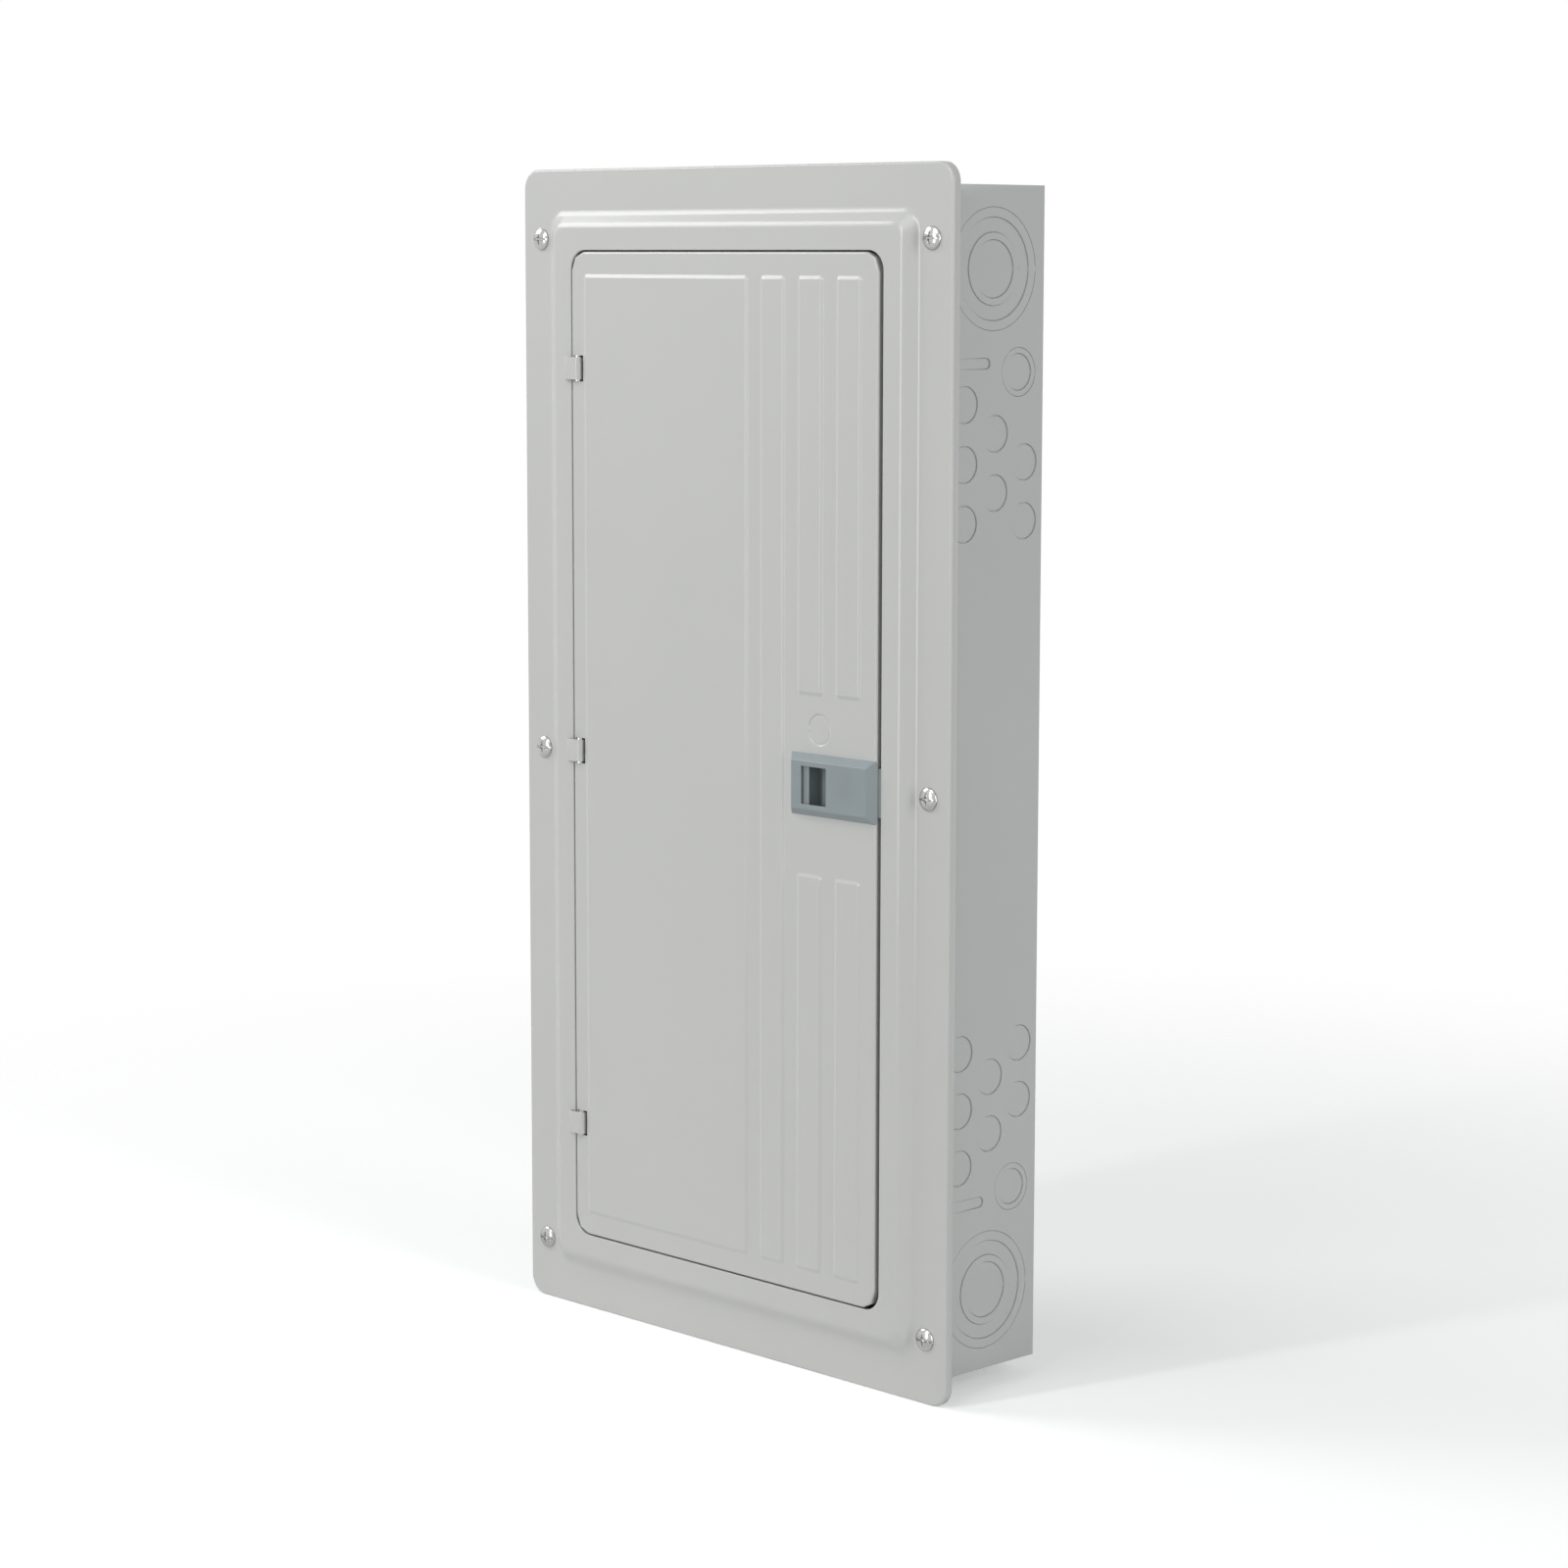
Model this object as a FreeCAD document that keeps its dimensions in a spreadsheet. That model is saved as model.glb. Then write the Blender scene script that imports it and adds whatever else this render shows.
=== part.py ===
"""Residential load center: a flush-mounted breaker panel with a hinged door.

Frame: +Z up, the front faces -Y, and the origin is the centre of the box's back face, which lies
against the wall. Heights above the back face, towards the front, are called levels: level = -y.
Every size is a cell of the spreadsheet "sizes", in millimetres or degrees.
"""

import FreeCAD, Part
import math
import os
import re

import Sketcher
from FreeCAD import Placement, Rotation, Vector

doc = FreeCAD.newDocument("load_center")
sheet = doc.addObject("Spreadsheet::Sheet", "sizes")
nodes = {}

SIZES = [
    # box
    ("box_width", 362.0, "outside width of the box"),
    ("box_height", 742.0, "outside height of the box"),
    ("box_depth", 98.4, "outside depth of the box"),
    ("box_gauge", 1.2, "box sheet thickness"),
    ("end_flange", 14.0, "length of the end walls' weld flanges"),
    ("ear_reach", 15.0, "how far a trim ear is folded inwards"),
    ("ear_height", 26.0, "height of a trim ear"),
    ("ear_window", 12.0, "height of the relief window behind a trim screw"),
    ("ear_window_depth", 16.0, "depth of the relief window"),
    ("wall_hole_radius", 3.6, "wall mounting hole"),
    ("wall_hole_spacing_x", 254.0, "between the two columns of wall mounting holes"),
    ("wall_hole_spacing_z", 660.4, "between the two rows of wall mounting holes"),
    # knockouts
    ("slit", 0.5, "width of a knockout's sheared slit"),
    ("tie", 2.2, "width of a tie that holds a knockout ring"),
    ("ring_a", 17.45, "1 inch trade knockout radius"),
    ("ring_b", 22.1, "1-1/4 inch trade knockout radius"),
    ("ring_c", 31.2, "2 inch trade knockout radius"),
    ("ring_d", 37.3, "2-1/2 inch trade knockout radius"),
    ("ring_small", 11.1, "1/2 inch trade knockout radius"),
    ("ring_medium", 14.8, "3/4 inch trade knockout radius"),
    ("big_level", 46.5, "level of the side walls' large knockouts"),
    ("big_z", 320.0, "height of the side walls' large knockouts above the middle"),
    ("pair_level", 23.3, "level of the side walls' double knockouts"),
    ("pair_z", 257.0, "height of the side walls' double knockouts"),
    ("near_level", 71.6, "level of the front column of single knockouts"),
    ("middle_level", 44.2, "level of the middle column"),
    ("far_level", 17.6, "level of the rear column"),
    ("knockout_z", 165.0, "height of the first single knockout above the middle"),
    ("knockout_pitch", 36.4, "pitch of the single knockouts"),
    ("end_big_x", 118.0, "end walls' large knockouts, from the middle"),
    ("end_pair_x", 46.0, "end walls' small knockouts, from the middle"),
    ("tab_z", 262.5, "height of the stud positioning tabs"),
    ("tab_width", 6.2, "width of a stud positioning tab"),
    ("tab_root", 80.0, "level where a stud positioning tab starts"),
    ("tab_end", 49.5, "level of a stud positioning tab's round end"),
    # trim
    ("trim_over_x", 15.85, "how far the trim reaches past the box at each side"),
    ("trim_over_z", 13.2, "how far the trim reaches past the box above and below"),
    ("trim_gauge", 1.2, "trim sheet thickness"),
    ("trim_corner", 12.5, "corner radius of the trim"),
    ("trim_lip", 6.0, "depth of the trim's turned edge, from its front face"),
    ("step_width", 336.6, "width of the raised frame at its foot"),
    ("step_height", 711.0, "height of the raised frame at its foot"),
    ("step_rise", 6.5, "how far the raised frame stands out"),
    ("step_run", 8.2, "width of the raised frame's slope"),
    ("step_corner", 13.0, "corner radius of the raised frame at its foot"),
    ("opening_lip", 5.0, "depth of the lip turned in around the door opening"),
    ("screw_in", 1.7, "trim screws, from the box's sides"),
    ("screw_down", 30.5, "upper and lower trim screws, from the box's ends"),
    ("screw_drop", 2.0, "how far all the trim screws lie below that"),
    ("screw_head", 7.25, "trim screw head radius"),
    ("screw_dome", 3.2, "trim screw head height"),
    ("screw_slot_depth", 1.4, "depth of a trim screw's slot"),
    ("screw_slot_width", 1.2, "width of a trim screw's slot"),
    ("screw_shank", 2.3, "trim screw shank radius"),
    ("screw_length", 15.0, "trim screw length below the head"),
    ("screw_clear", 0.3, "clearance around screw shanks"),
    # door
    ("door_width", 283.2, "width of the door"),
    ("door_height", 660.6, "height of the door"),
    ("door_gauge", 1.0, "door sheet thickness"),
    ("door_corner", 12.0, "corner radius of the door"),
    ("door_flange", 7.0, "depth of the door's turned edge, from its front face"),
    ("door_proud", 0.6, "how far the door stands out of the raised frame"),
    ("door_gap_left", 1.0, "gap beside the door, at the hinges"),
    ("door_gap_right", 3.0, "gap beside the door, at the latch"),
    ("door_gap_z", 0.9, "gap above and below the door"),
    ("panel_rise", 1.2, "rise of the door's embossed panels"),
    ("panel_run", 2.2, "width of the embossed panels' slope"),
    ("panel_corner", 3.0, "corner radius of the embossed panels"),
    ("panel_top", 315.8, "top edge of the embossed panels"),
    ("wide_left", -129.0, "left edge of the wide panel"),
    ("wide_right", 27.2, "right edge of the wide panel"),
    ("rib_left", 37.9, "left edge of the first narrow panel"),
    ("rib_width", 22.8, "width of a narrow panel"),
    ("rib_pitch", 33.7, "pitch of the narrow panels"),
    ("upper_end", 54.5, "bottom edge of the upper short panels"),
    ("lower_end", -58.5, "top edge of the lower short panels"),
    ("lock_blank_x", 91.5, "middle of the lock knockout"),
    ("lock_blank_z", 33.5, "middle of the lock knockout"),
    ("lock_blank_radius", 9.4, "radius of the lock knockout"),
    ("lock_blank_groove", 0.35, "depth of the lock knockout's ring"),
    ("card_width", 132.0, "circuit directory card"),
    ("card_height", 420.0, "circuit directory card"),
    ("card_gauge", 0.4, "thickness of the directory card"),
    ("card_margin", 3.0, "between the card and the wide panel's slope"),
    # hinges
    ("hinge_pitch", 254.0, "between hinges"),
    ("hinge_inset", 5.8, "hinge axis, from the door's left edge"),
    ("hinge_sink", 0.7, "hinge axis, behind the door's front face"),
    ("pin_radius", 2.3, "hinge pin"),
    ("pin_length", 46.0, "hinge pin"),
    ("pin_clear", 0.1, "gap between hinge pin and strap"),
    ("strap_gauge", 1.2, "hinge strap thickness"),
    ("strap_height", 14.6, "height of a hinge strap"),
    ("strap_foot", 13.7, "reach of the strap's foot, left of the hinge axis"),
    ("strap_bend", 9.6, "where the strap steps down to the trim, left of the hinge axis"),
    ("slot_margin", 1.2, "slot in the door, above and below the strap"),
    ("slot_side", 0.4, "slot in the door, left of the strap's eye"),
    ("slot_right", 5.7, "slot in the door, right of the hinge axis"),
    # latch
    ("latch_z", -1.6, "middle of the latch"),
    ("bezel_left", 66.8, "left end of the latch bezel"),
    ("bezel_height", 39.8, "height of the latch bezel"),
    ("bezel_rise", 5.2, "how far the bezel stands out of the door"),
    ("bezel_wall", 1.6, "bezel wall thickness"),
    ("bezel_bevel", 4.6, "width of the bezel's sloping edges"),
    ("window_left", 80.2, "left edge of the finger window"),
    ("window_width", 22.0, "width of the finger window"),
    ("window_height", 24.0, "height of the finger window"),
    ("skirt_left", 73.5, "left end of the bezel's skirt, behind the door"),
    ("skirt_right", 131.0, "right end of the bezel's skirt"),
    ("skirt_height", 35.0, "height of the bezel's skirt"),
    ("skirt_back", 97.2, "level of the skirt's back edge"),
    ("skirt_clear", 0.4, "gap between the skirt and the door's cut-out"),
    ("slider_height", 31.0, "height of the latch slider"),
    ("slider_back", 97.8, "level of the slider's back face"),
    ("slider_floor", 2.2, "thickness of the slider's floor"),
    ("slider_tip", 147.8, "end of the slider's tongue"),
    ("tongue_gauge", 2.9, "thickness of the tongue behind the opening lip"),
    ("tongue_block_left", 136.0, "left end of the thick part of the tongue"),
    ("tongue_block_right", 144.1, "right end of the thick part of the tongue"),
    ("tongue_block_front", 105.2, "level of the front of the thick part of the tongue"),
    ("grip_width", 6.0, "width of the finger grip"),
    ("grip_gap", 0.3, "gap over the finger grip"),
    ("stop_left", 103.0, "bezel rib that the springs push against"),
    ("stop_width", 2.0, "thickness of that rib"),
    ("lug_left", 122.0, "slider lug that the springs push"),
    ("lug_width", 3.0, "thickness of that lug"),
    ("latch_travel", 4.2, "how far the slider moves"),
    ("spring_radius", 2.4, "mean radius of a latch spring"),
    ("spring_wire", 0.35, "wire radius of a latch spring"),
    ("spring_z", 8.0, "latch springs, from the middle"),
    # deadfront
    ("dead_gauge", 1.2, "deadfront sheet thickness"),
    ("dead_width", 304.0, "width of the deadfront's well"),
    ("dead_height", 682.0, "height of the deadfront's well"),
    ("dead_flange", 5.0, "width of the deadfront's weld flange"),
    ("dead_corner", 14.0, "corner radius of the deadfront's well"),
    ("dead_level", 72.0, "level of the back of the deadfront's floor"),
    ("dead_clear", 0.7, "gap between the deadfront and what comes through it"),
    ("twist_slit", 0.8, "width of a twistout's slit"),
    ("twist_tie", 6.0, "length of the ties that hold a twistout"),
    # interior
    ("pan_width", 226.0, "width of the interior pan"),
    ("pan_top", 264.0, "top edge of the interior pan"),
    ("pan_bottom", -327.0, "bottom edge of the interior pan"),
    ("pan_gauge", 1.5, "interior pan thickness"),
    ("pan_level", 12.0, "level of the interior pan's back"),
    ("pan_screw", 2.2, "radius of the pan screws"),
    ("pan_head", 2.6, "height of a pan screw's head"),
    ("thread_clear", 0.1, "radial play of a screw's thread in a sheet"),
    ("boss_x", 85.0, "pan feet, from the middle"),
    ("boss_in", 11.0, "pan feet, from the pan's ends"),
    ("boss_radius", 9.0, "pan foot"),
    ("rail_left", 58.0, "inner edge of a breaker rail's foot"),
    ("rail_web", 66.0, "where a breaker rail steps up"),
    ("rail_hook", 81.0, "inner face of a breaker rail's hook"),
    ("rail_level", 23.8, "level of a breaker rail's shelf"),
    ("rail_hook_front", 30.0, "level of the end of a breaker rail's hook"),
    ("base_width", 60.0, "width of the bus insulator"),
    ("base_front", 29.5, "level of the bus insulator's front"),
    ("base_wall", 3.0, "wall of the bus insulator"),
    ("bus_inner", 8.0, "inner edge of a bus bar"),
    ("bus_width", 16.0, "width of a bus bar"),
    ("bus_gauge", 3.0, "thickness of a bus bar"),
    ("arm_level", 36.5, "level of the back of the cross arms"),
    ("arm_gauge", 2.0, "thickness of arms and stabs"),
    ("arm_height", 14.0, "height of arms and stabs"),
    ("stab_x", 26.0, "middle of a stab, from the panel's middle"),
    ("stab_front", 56.0, "level of the end of a stab"),
    ("row_top", 92.3, "height of the first row's middle"),
    ("row_pitch", 25.4, "breaker space pitch"),
    ("rows", 15, "breaker spaces in one column"),
    ("rows_fitted", 5, "spaces of one column that hold a breaker"),
    ("bus_lap", 15.0, "how far a bus bar reaches behind the main breaker"),
    ("bus_below", 5.0, "how far a bus bar reaches below the last space"),
    ("base_below", 10.0, "how far the insulator reaches below the last space"),
    ("base_above", 8.0, "how far the insulator reaches above the first space"),
    ("riser_in", 2.0, "arm riser, from the edges of its bus bar"),
    # branch breakers
    ("case_inner", 4.0, "inner end of a breaker case"),
    ("case_outer", 79.0, "outer end of a breaker case"),
    ("case_gap", 0.4, "gap between neighbouring cases"),
    ("case_shoulder", 70.0, "level of a breaker case's shoulder"),
    ("case_front", 78.0, "level of a breaker case's nose"),
    ("nose_inner", 19.5, "inner end of the nose"),
    ("nose_outer", 61.5, "outer end of the nose"),
    ("nose_slope", 1.6, "run of the nose's sloping ends"),
    ("nose_fillet", 0.5, "run between the nose and the shoulder"),
    ("case_foot_lift", 2.5, "between the cross arms and the inner foot of a case"),
    ("jaw_wall", 5.0, "case wall outside the jaw slot"),
    ("rail_clear", 0.1, "between a case's hooked foot and its rail"),
    ("recess_depth", 9.0, "depth of a terminal recess"),
    ("recess_below", 9.0, "terminal recess, behind the screws' axis"),
    ("recess_above", 11.0, "terminal recess, in front of the screws' axis"),
    ("jaw_half", 3.4, "half width of the jaw slot around a stab"),
    ("handle_x", 40.5, "handle axis, from the panel's middle"),
    ("handle_level", 70.5, "level of the handle axis"),
    ("handle_hub", 5.4, "handle hub radius"),
    ("handle_width", 10.0, "width of a one-pole handle"),
    ("handle_wide", 34.0, "width of a two-pole handle"),
    ("handle_reach", 18.0, "length of a handle from its axis"),
    ("handle_root", 6.6, "handle thickness at its hub"),
    ("handle_end", 4.4, "handle thickness at its tip"),
    ("handle_tilt", 17.0, "tilt of a handle that is on"),
    ("handle_clear", 0.5, "gap around a handle in its case"),
    ("lug_screw_radius", 3.8, "branch terminal screw"),
    ("terminal_screw_height", 4.5, "height of a branch terminal screw"),
    ("driver_width", 1.0, "width of a screwdriver slot"),
    ("driver_depth", 1.5, "depth of a screwdriver slot"),
    ("lug_screw_level", 47.0, "level of the branch terminal screws"),
    # main breaker
    ("main_width", 102.0, "width of the main breaker"),
    ("main_bottom", 118.0, "bottom of the main breaker"),
    ("main_top", 216.0, "top of the main breaker's full depth"),
    ("main_ledge", 246.0, "top of the ledge that carries the line lugs"),
    ("main_ledge_level", 26.0, "level of that ledge"),
    ("main_shoulder", 68.0, "level of the main breaker's face"),
    ("main_front", 78.0, "level of the main breaker's nose"),
    ("main_nose_width", 66.0, "width of that nose"),
    ("main_nose_height", 54.0, "height of that nose"),
    ("main_axis_z", 177.0, "height of the main handle's axis"),
    ("main_axis_level", 66.0, "level of the main handle's axis"),
    ("main_hub", 9.0, "main handle hub radius"),
    ("main_handle_width", 24.0, "main handle width"),
    ("main_reach", 30.0, "main handle length from its axis"),
    ("main_root", 12.0, "main handle thickness at its hub"),
    ("main_end", 8.0, "main handle thickness at its tip"),
    ("main_tilt", 18.0, "tilt of the main handle when on"),
    ("lug_x", 27.0, "line lugs, from the middle"),
    ("lug_size", 28.0, "width, height and depth of a lug"),
    ("lug_bore", 7.0, "radius of a lug's wire hole"),
    ("lug_screw", 5.0, "radius of a lug's set screw"),
    ("lug_seat", 0.5, "between a lug's wire hole and its set screw"),
    ("lug_gap", 1.5, "between a line lug and the case below it"),
    ("lug_screw_proud", 2.0, "how far a set screw stands out of its lug"),
    ("main_notch_back", 28.0, "level of the back of the notch for the bus bars"),
    ("main_notch_front", 45.0, "level of the front of that notch"),
    ("bolt_radius", 3.0, "bus bolt"),
    ("bolt_clear", 0.15, "radial play of a bus bolt in its hole"),
    ("bolt_head_radius", 5.1, "bus bolt head"),
    ("bolt_head", 3.2, "height of a bus bolt's head"),
    ("axle_radius", 1.5, "axle of a handle"),
    ("axle_stub", 1.6, "reach of a handle's axle into the case, each side"),
    ("axle_clear", 0.06, "running clearance of the axles and screws"),
    ("bus_bolt_z", 126.0, "height of the bolts that join bus and main breaker"),
    # neutral and ground
    ("neutral_x", 102.0, "middle of a neutral bar"),
    ("neutral_size", 12.0, "width and depth of a neutral bar"),
    ("neutral_back", 33.0, "level of the back of a neutral bar"),
    ("neutral_top", 108.0, "top end of a neutral bar"),
    ("neutral_bottom", -306.0, "bottom end of a neutral bar"),
    ("terminal_pitch", 12.7, "pitch of the bars' wire holes"),
    ("terminals", 30, "wire holes in one neutral bar"),
    ("bond_radius", 2.0, "bonding screw shank"),
    ("bond_head_height", 3.4, "height of the bonding screw's head"),
    ("neutral_lug_size", 22.0, "width, height and depth of the neutral lug"),
    ("neutral_lug_bore", 5.5, "radius of the neutral lug's wire hole"),
    ("neutral_lug_screw", 4.0, "radius of the neutral lug's set screw"),
    ("wire_hole", 2.5, "radius of a bar's wire hole"),
    ("bar_screw", 2.9, "radius of a bar's screw"),
    ("bar_screw_clear", 0.2, "radial play of a bar's screw"),
    ("bar_screw_lift", 1.0, "from a bar's middle to its screws, which stand out by twice that"),
    ("terminal_inset", 6.0, "from the cross strap to the first wire hole"),
    ("strap_width", 14.0, "height of the neutral cross strap"),
    ("strap_thick", 3.0, "thickness of the neutral cross strap"),
    ("post_length", 20.0, "length of a neutral standoff"),
    ("post_out", 2.0, "how far a neutral standoff reaches past its bar"),
    ("ground_width", 120.0, "length of the ground bar"),
    ("ground_z", -345.0, "bottom of the ground bar"),
    ("ground_level", 9.0, "level of the back of the ground bar"),
    ("ground_terminals", 8, "wire holes in the ground bar"),
    ("bond_x", 80.0, "bonding screw"),
]


def link(expression):
    """Puts the sheet's name in front of every cell alias in an expression."""
    return re.sub(r"[a-z]\w+(?!\w*\()", lambda found: "sizes." + found.group(0), str(expression))


def value(expression):
    """The number that an expression of cell aliases gives."""
    found = sheet.evalExpression(link(expression))
    return float(getattr(found, "Value", found))


def bind(thing, property_name, expression):
    thing.setExpression(property_name, link(expression))


def keep(thing, label):
    """Makes an object a sub-part: its label names its file."""
    thing.Label = label
    nodes[label] = thing
    return thing


for row, (alias, number, note) in enumerate(SIZES, start=1):
    sheet.set(f"A{row}", alias.replace("_", " "))
    sheet.set(f"B{row}", str(number))
    sheet.set(f"C{row}", note)
    sheet.setAlias(f"B{row}", alias)
doc.recompute()


# ---- Part primitives: blocks, rods, and joining and cutting them ----


def block(name, x0, x1, back, front, z0, z1):
    """A box between two x, two levels and two z."""
    made = doc.addObject("Part::Box", name)
    bind(made, "Length", f"({x1})-({x0})")
    bind(made, "Width", f"({front})-({back})")
    bind(made, "Height", f"({z1})-({z0})")
    bind(made, "Placement.Base.x", x0)
    bind(made, "Placement.Base.y", f"-({front})")
    bind(made, "Placement.Base.z", z0)
    return made


def rod(name, radius, axis, x, level, z, length, far_radius=None):
    """A cylinder, or a cone, that starts at a point and runs along +X, -Y (to the front) or +Z."""
    made = doc.addObject("Part::Cone" if far_radius else "Part::Cylinder", name)
    bind(made, "Radius1" if far_radius else "Radius", radius)
    if far_radius:
        bind(made, "Radius2", far_radius)
    bind(made, "Height", length)
    turned = {
        "x": Rotation(Vector(0, 1, 0), 90),
        "front": Rotation(Vector(1, 0, 0), 90),
        "z": Rotation(),
    }
    made.Placement = Placement(Vector(), turned[axis])
    bind(made, "Placement.Base.x", x)
    bind(made, "Placement.Base.y", f"-({level})")
    bind(made, "Placement.Base.z", z)
    return made


def fuse(name, shapes):
    made = doc.addObject("Part::MultiFuse", name)
    made.Shapes = shapes
    return made


def gather(name, shapes):
    """A compound: pieces that lie apart and share one node."""
    made = doc.addObject("Part::Compound", name)
    made.Links = shapes
    return made


def cut(name, base, tools):
    """Base less tools, with a check that something was cut."""
    made = doc.addObject("Part::Cut", name)
    made.Base = base
    made.Tool = tools[0] if len(tools) == 1 else gather(name + "_tools", tools)
    doc.recompute()
    if made.Shape.Volume > base.Shape.Volume - 1e-6:
        raise ValueError(f"{name} cuts nothing")
    return made


# ---- PartDesign: bodies, sketches, pads and pockets ----


def new_body(name):
    return doc.addObject("PartDesign::Body", name)


def attach(body, sketch, role, offset):
    plane = [f for f in body.Origin.OriginFeatures if f.Role == role][0]
    sketch.AttachmentSupport = [(plane, "")]
    sketch.MapMode = "FlatFace"
    bind(sketch, "AttachmentOffset.Base.z", offset)


def pin_point(sketch, edge, end, x, y):
    """Fixes one end of an edge at (x, y), both expressions."""
    for kind, expression in (("DistanceX", x), ("DistanceY", y)):
        made = sketch.addConstraint(
            Sketcher.Constraint(kind, -1, 1, edge, end, value(expression))
        )
        bind(sketch, f"Constraints[{made}]", expression)


def outline(body, name, role, offset, corners):
    """A sketch of one closed outline of straight edges through corners, pairs of expressions."""
    sketch = body.newObject("Sketcher::SketchObject", name)
    attach(body, sketch, role, offset)
    points = [Vector(value(x), value(y), 0) for x, y in corners]
    count = len(points)
    for i in range(count):
        sketch.addGeometry(Part.LineSegment(points[i], points[(i + 1) % count]))
    for i in range(count):
        sketch.addConstraint(Sketcher.Constraint("Coincident", i, 2, (i + 1) % count, 1))
    for i, (x, y) in enumerate(corners):
        pin_point(sketch, i, 1, x, y)
    return sketch


def rounded(body, name, level, x0, x1, z0, z1, radius):
    """A sketch of a rectangle with round corners, seen from the front, at a level."""
    sketch = body.newObject("Sketcher::SketchObject", name)
    attach(body, sketch, "XZ_Plane", level)
    left, right, low, high, r = (value(e) for e in (x0, x1, z0, z1, radius))
    sides = [
        ((left + r, low), (right - r, low)),
        ((right, low + r), (right, high - r)),
        ((right - r, high), (left + r, high)),
        ((left, high - r), (left, low + r)),
    ]
    centres = [(right - r, low + r), (right - r, high - r), (left + r, high - r), (left + r, low + r)]
    for i in range(4):
        start, end = sides[i]
        sketch.addGeometry(Part.LineSegment(Vector(*start, 0), Vector(*end, 0)))
        circle = Part.Circle(Vector(*centres[i], 0), Vector(0, 0, 1), r)
        turn = math.radians(90 * i - 90)
        sketch.addGeometry(Part.ArcOfCircle(circle, turn, turn + math.pi / 2))
    for i in range(4):
        side, arc, following = 2 * i, 2 * i + 1, (2 * i + 2) % 8
        sketch.addConstraint(Sketcher.Constraint("Tangent", side, 2, arc, 1))
        sketch.addConstraint(Sketcher.Constraint("Tangent", arc, 2, following, 1))
    for side, kind in ((0, "Horizontal"), (2, "Vertical"), (4, "Horizontal"), (6, "Vertical")):
        sketch.addConstraint(Sketcher.Constraint(kind, side))
    for i in range(1, 4):
        sketch.addConstraint(Sketcher.Constraint("Equal", 1, 2 * i + 1))
    limits = (
        ("DistanceY", 0, z0),
        ("DistanceX", 2, x1),
        ("DistanceY", 4, z1),
        ("DistanceX", 6, x0),
    )
    for kind, side, expression in limits:
        made = sketch.addConstraint(
            Sketcher.Constraint(kind, -1, 1, side, 1, value(expression))
        )
        bind(sketch, f"Constraints[{made}]", expression)
    made = sketch.addConstraint(Sketcher.Constraint("Radius", 1, r))
    bind(sketch, f"Constraints[{made}]", radius)
    return sketch


def rectangle(body, name, level, x0, x1, z0, z1):
    """A sketch of a sharp rectangle, seen from the front, at a level."""
    corners = [(x0, z0), (x1, z0), (x1, z1), (x0, z1)]
    return outline(body, name, "XZ_Plane", level, corners)


def disc(body, name, level, x, z, radius):
    """A sketch of a circle, seen from the front, at a level."""
    sketch = body.newObject("Sketcher::SketchObject", name)
    attach(body, sketch, "XZ_Plane", level)
    middle = Vector(value(x), value(z), 0)
    sketch.addGeometry(Part.Circle(middle, Vector(0, 0, 1), value(radius)))
    pin_point(sketch, 0, 3, x, z)
    made = sketch.addConstraint(Sketcher.Constraint("Radius", 0, value(radius)))
    bind(sketch, f"Constraints[{made}]", radius)
    return sketch


def pad(body, sketch, length, taper=None, both_ways=False):
    """Pads a sketch along its normal: to the front, for a sketch that is seen from the front."""
    made = body.newObject("PartDesign::Pad", sketch.Name + "_pad")
    made.Profile = sketch
    bind(made, "Length", length)
    if taper:
        bind(made, "TaperAngle", taper)
    if both_ways:
        made.Midplane = True
    doc.recompute()
    return made


def pocket(body, sketch, length, taper=None, both_ways=False):
    """Cuts a sketch's shape along its normal, with a check that something was cut."""
    before = body.Shape.Volume
    made = body.newObject("PartDesign::Pocket", sketch.Name + "_pocket")
    made.Profile = sketch
    made.Reversed = True
    bind(made, "Length", length)
    if taper:
        bind(made, "TaperAngle", taper)
    if both_ways:
        made.Midplane = True
    doc.recompute()
    if body.Shape.Volume > before - 1e-6:
        raise ValueError(f"{made.Name} cuts nothing")
    return made


def centred(size):
    """The two limits of a size centred on zero."""
    return f"-({size})/2", f"({size})/2"


def layout():
    """Levels and edges that several pieces share, as expressions of the cells."""
    front = "(box_depth+trim_gauge)"
    plateau = f"({front}+step_rise)"
    door_front = f"({plateau}+door_proud)"
    return {
        "front": front,
        "plateau": plateau,
        "plateau_back": f"({plateau}-trim_gauge)",
        "door_front": door_front,
        "door_back": f"({door_front}-door_gauge)",
        "door_edge": f"({door_front}-door_flange)",
        "hinge_x": "(hinge_inset-door_width/2)",
        "trim_width": "(box_width+2*trim_over_x)",
        "trim_height": "(box_height+2*trim_over_z)",
        "screw_x": "(box_width/2-screw_in)",
        "hinge_level": f"({door_front}-hinge_sink)",
        "inner_x": "(box_width/2-box_gauge)",
        "inner_z": "(box_height/2-box_gauge)",
        "dead_front": "(dead_level+dead_gauge)",
        "bus_front": "(base_front+bus_gauge)",
        "arm_front": "(arm_level+arm_gauge)",
        "pan_front": "(pan_level+pan_gauge)",
    }


AT = layout()


# ---- Box: a wrapper folded from one sheet, two end walls, trim ears ----


def slit_ring(radius, ties):
    """The sheared slit of a knockout ring about the Z axis, broken by ties at the given angles."""
    reach = 2 * sheet.box_gauge
    low = Vector(0, 0, -reach)
    ring = Part.makeCylinder(radius + sheet.slit, 2 * reach, low)
    ring = ring.cut(Part.makeCylinder(radius, 2 * reach, low))
    for angle in ties:
        tie = Part.makeBox(2 * radius, sheet.tie, 2 * reach, Vector(0, -sheet.tie / 2, -reach))
        tie.rotate(Vector(), Vector(0, 0, 1), angle)
        ring = ring.cut(tie)
    return ring


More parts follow.
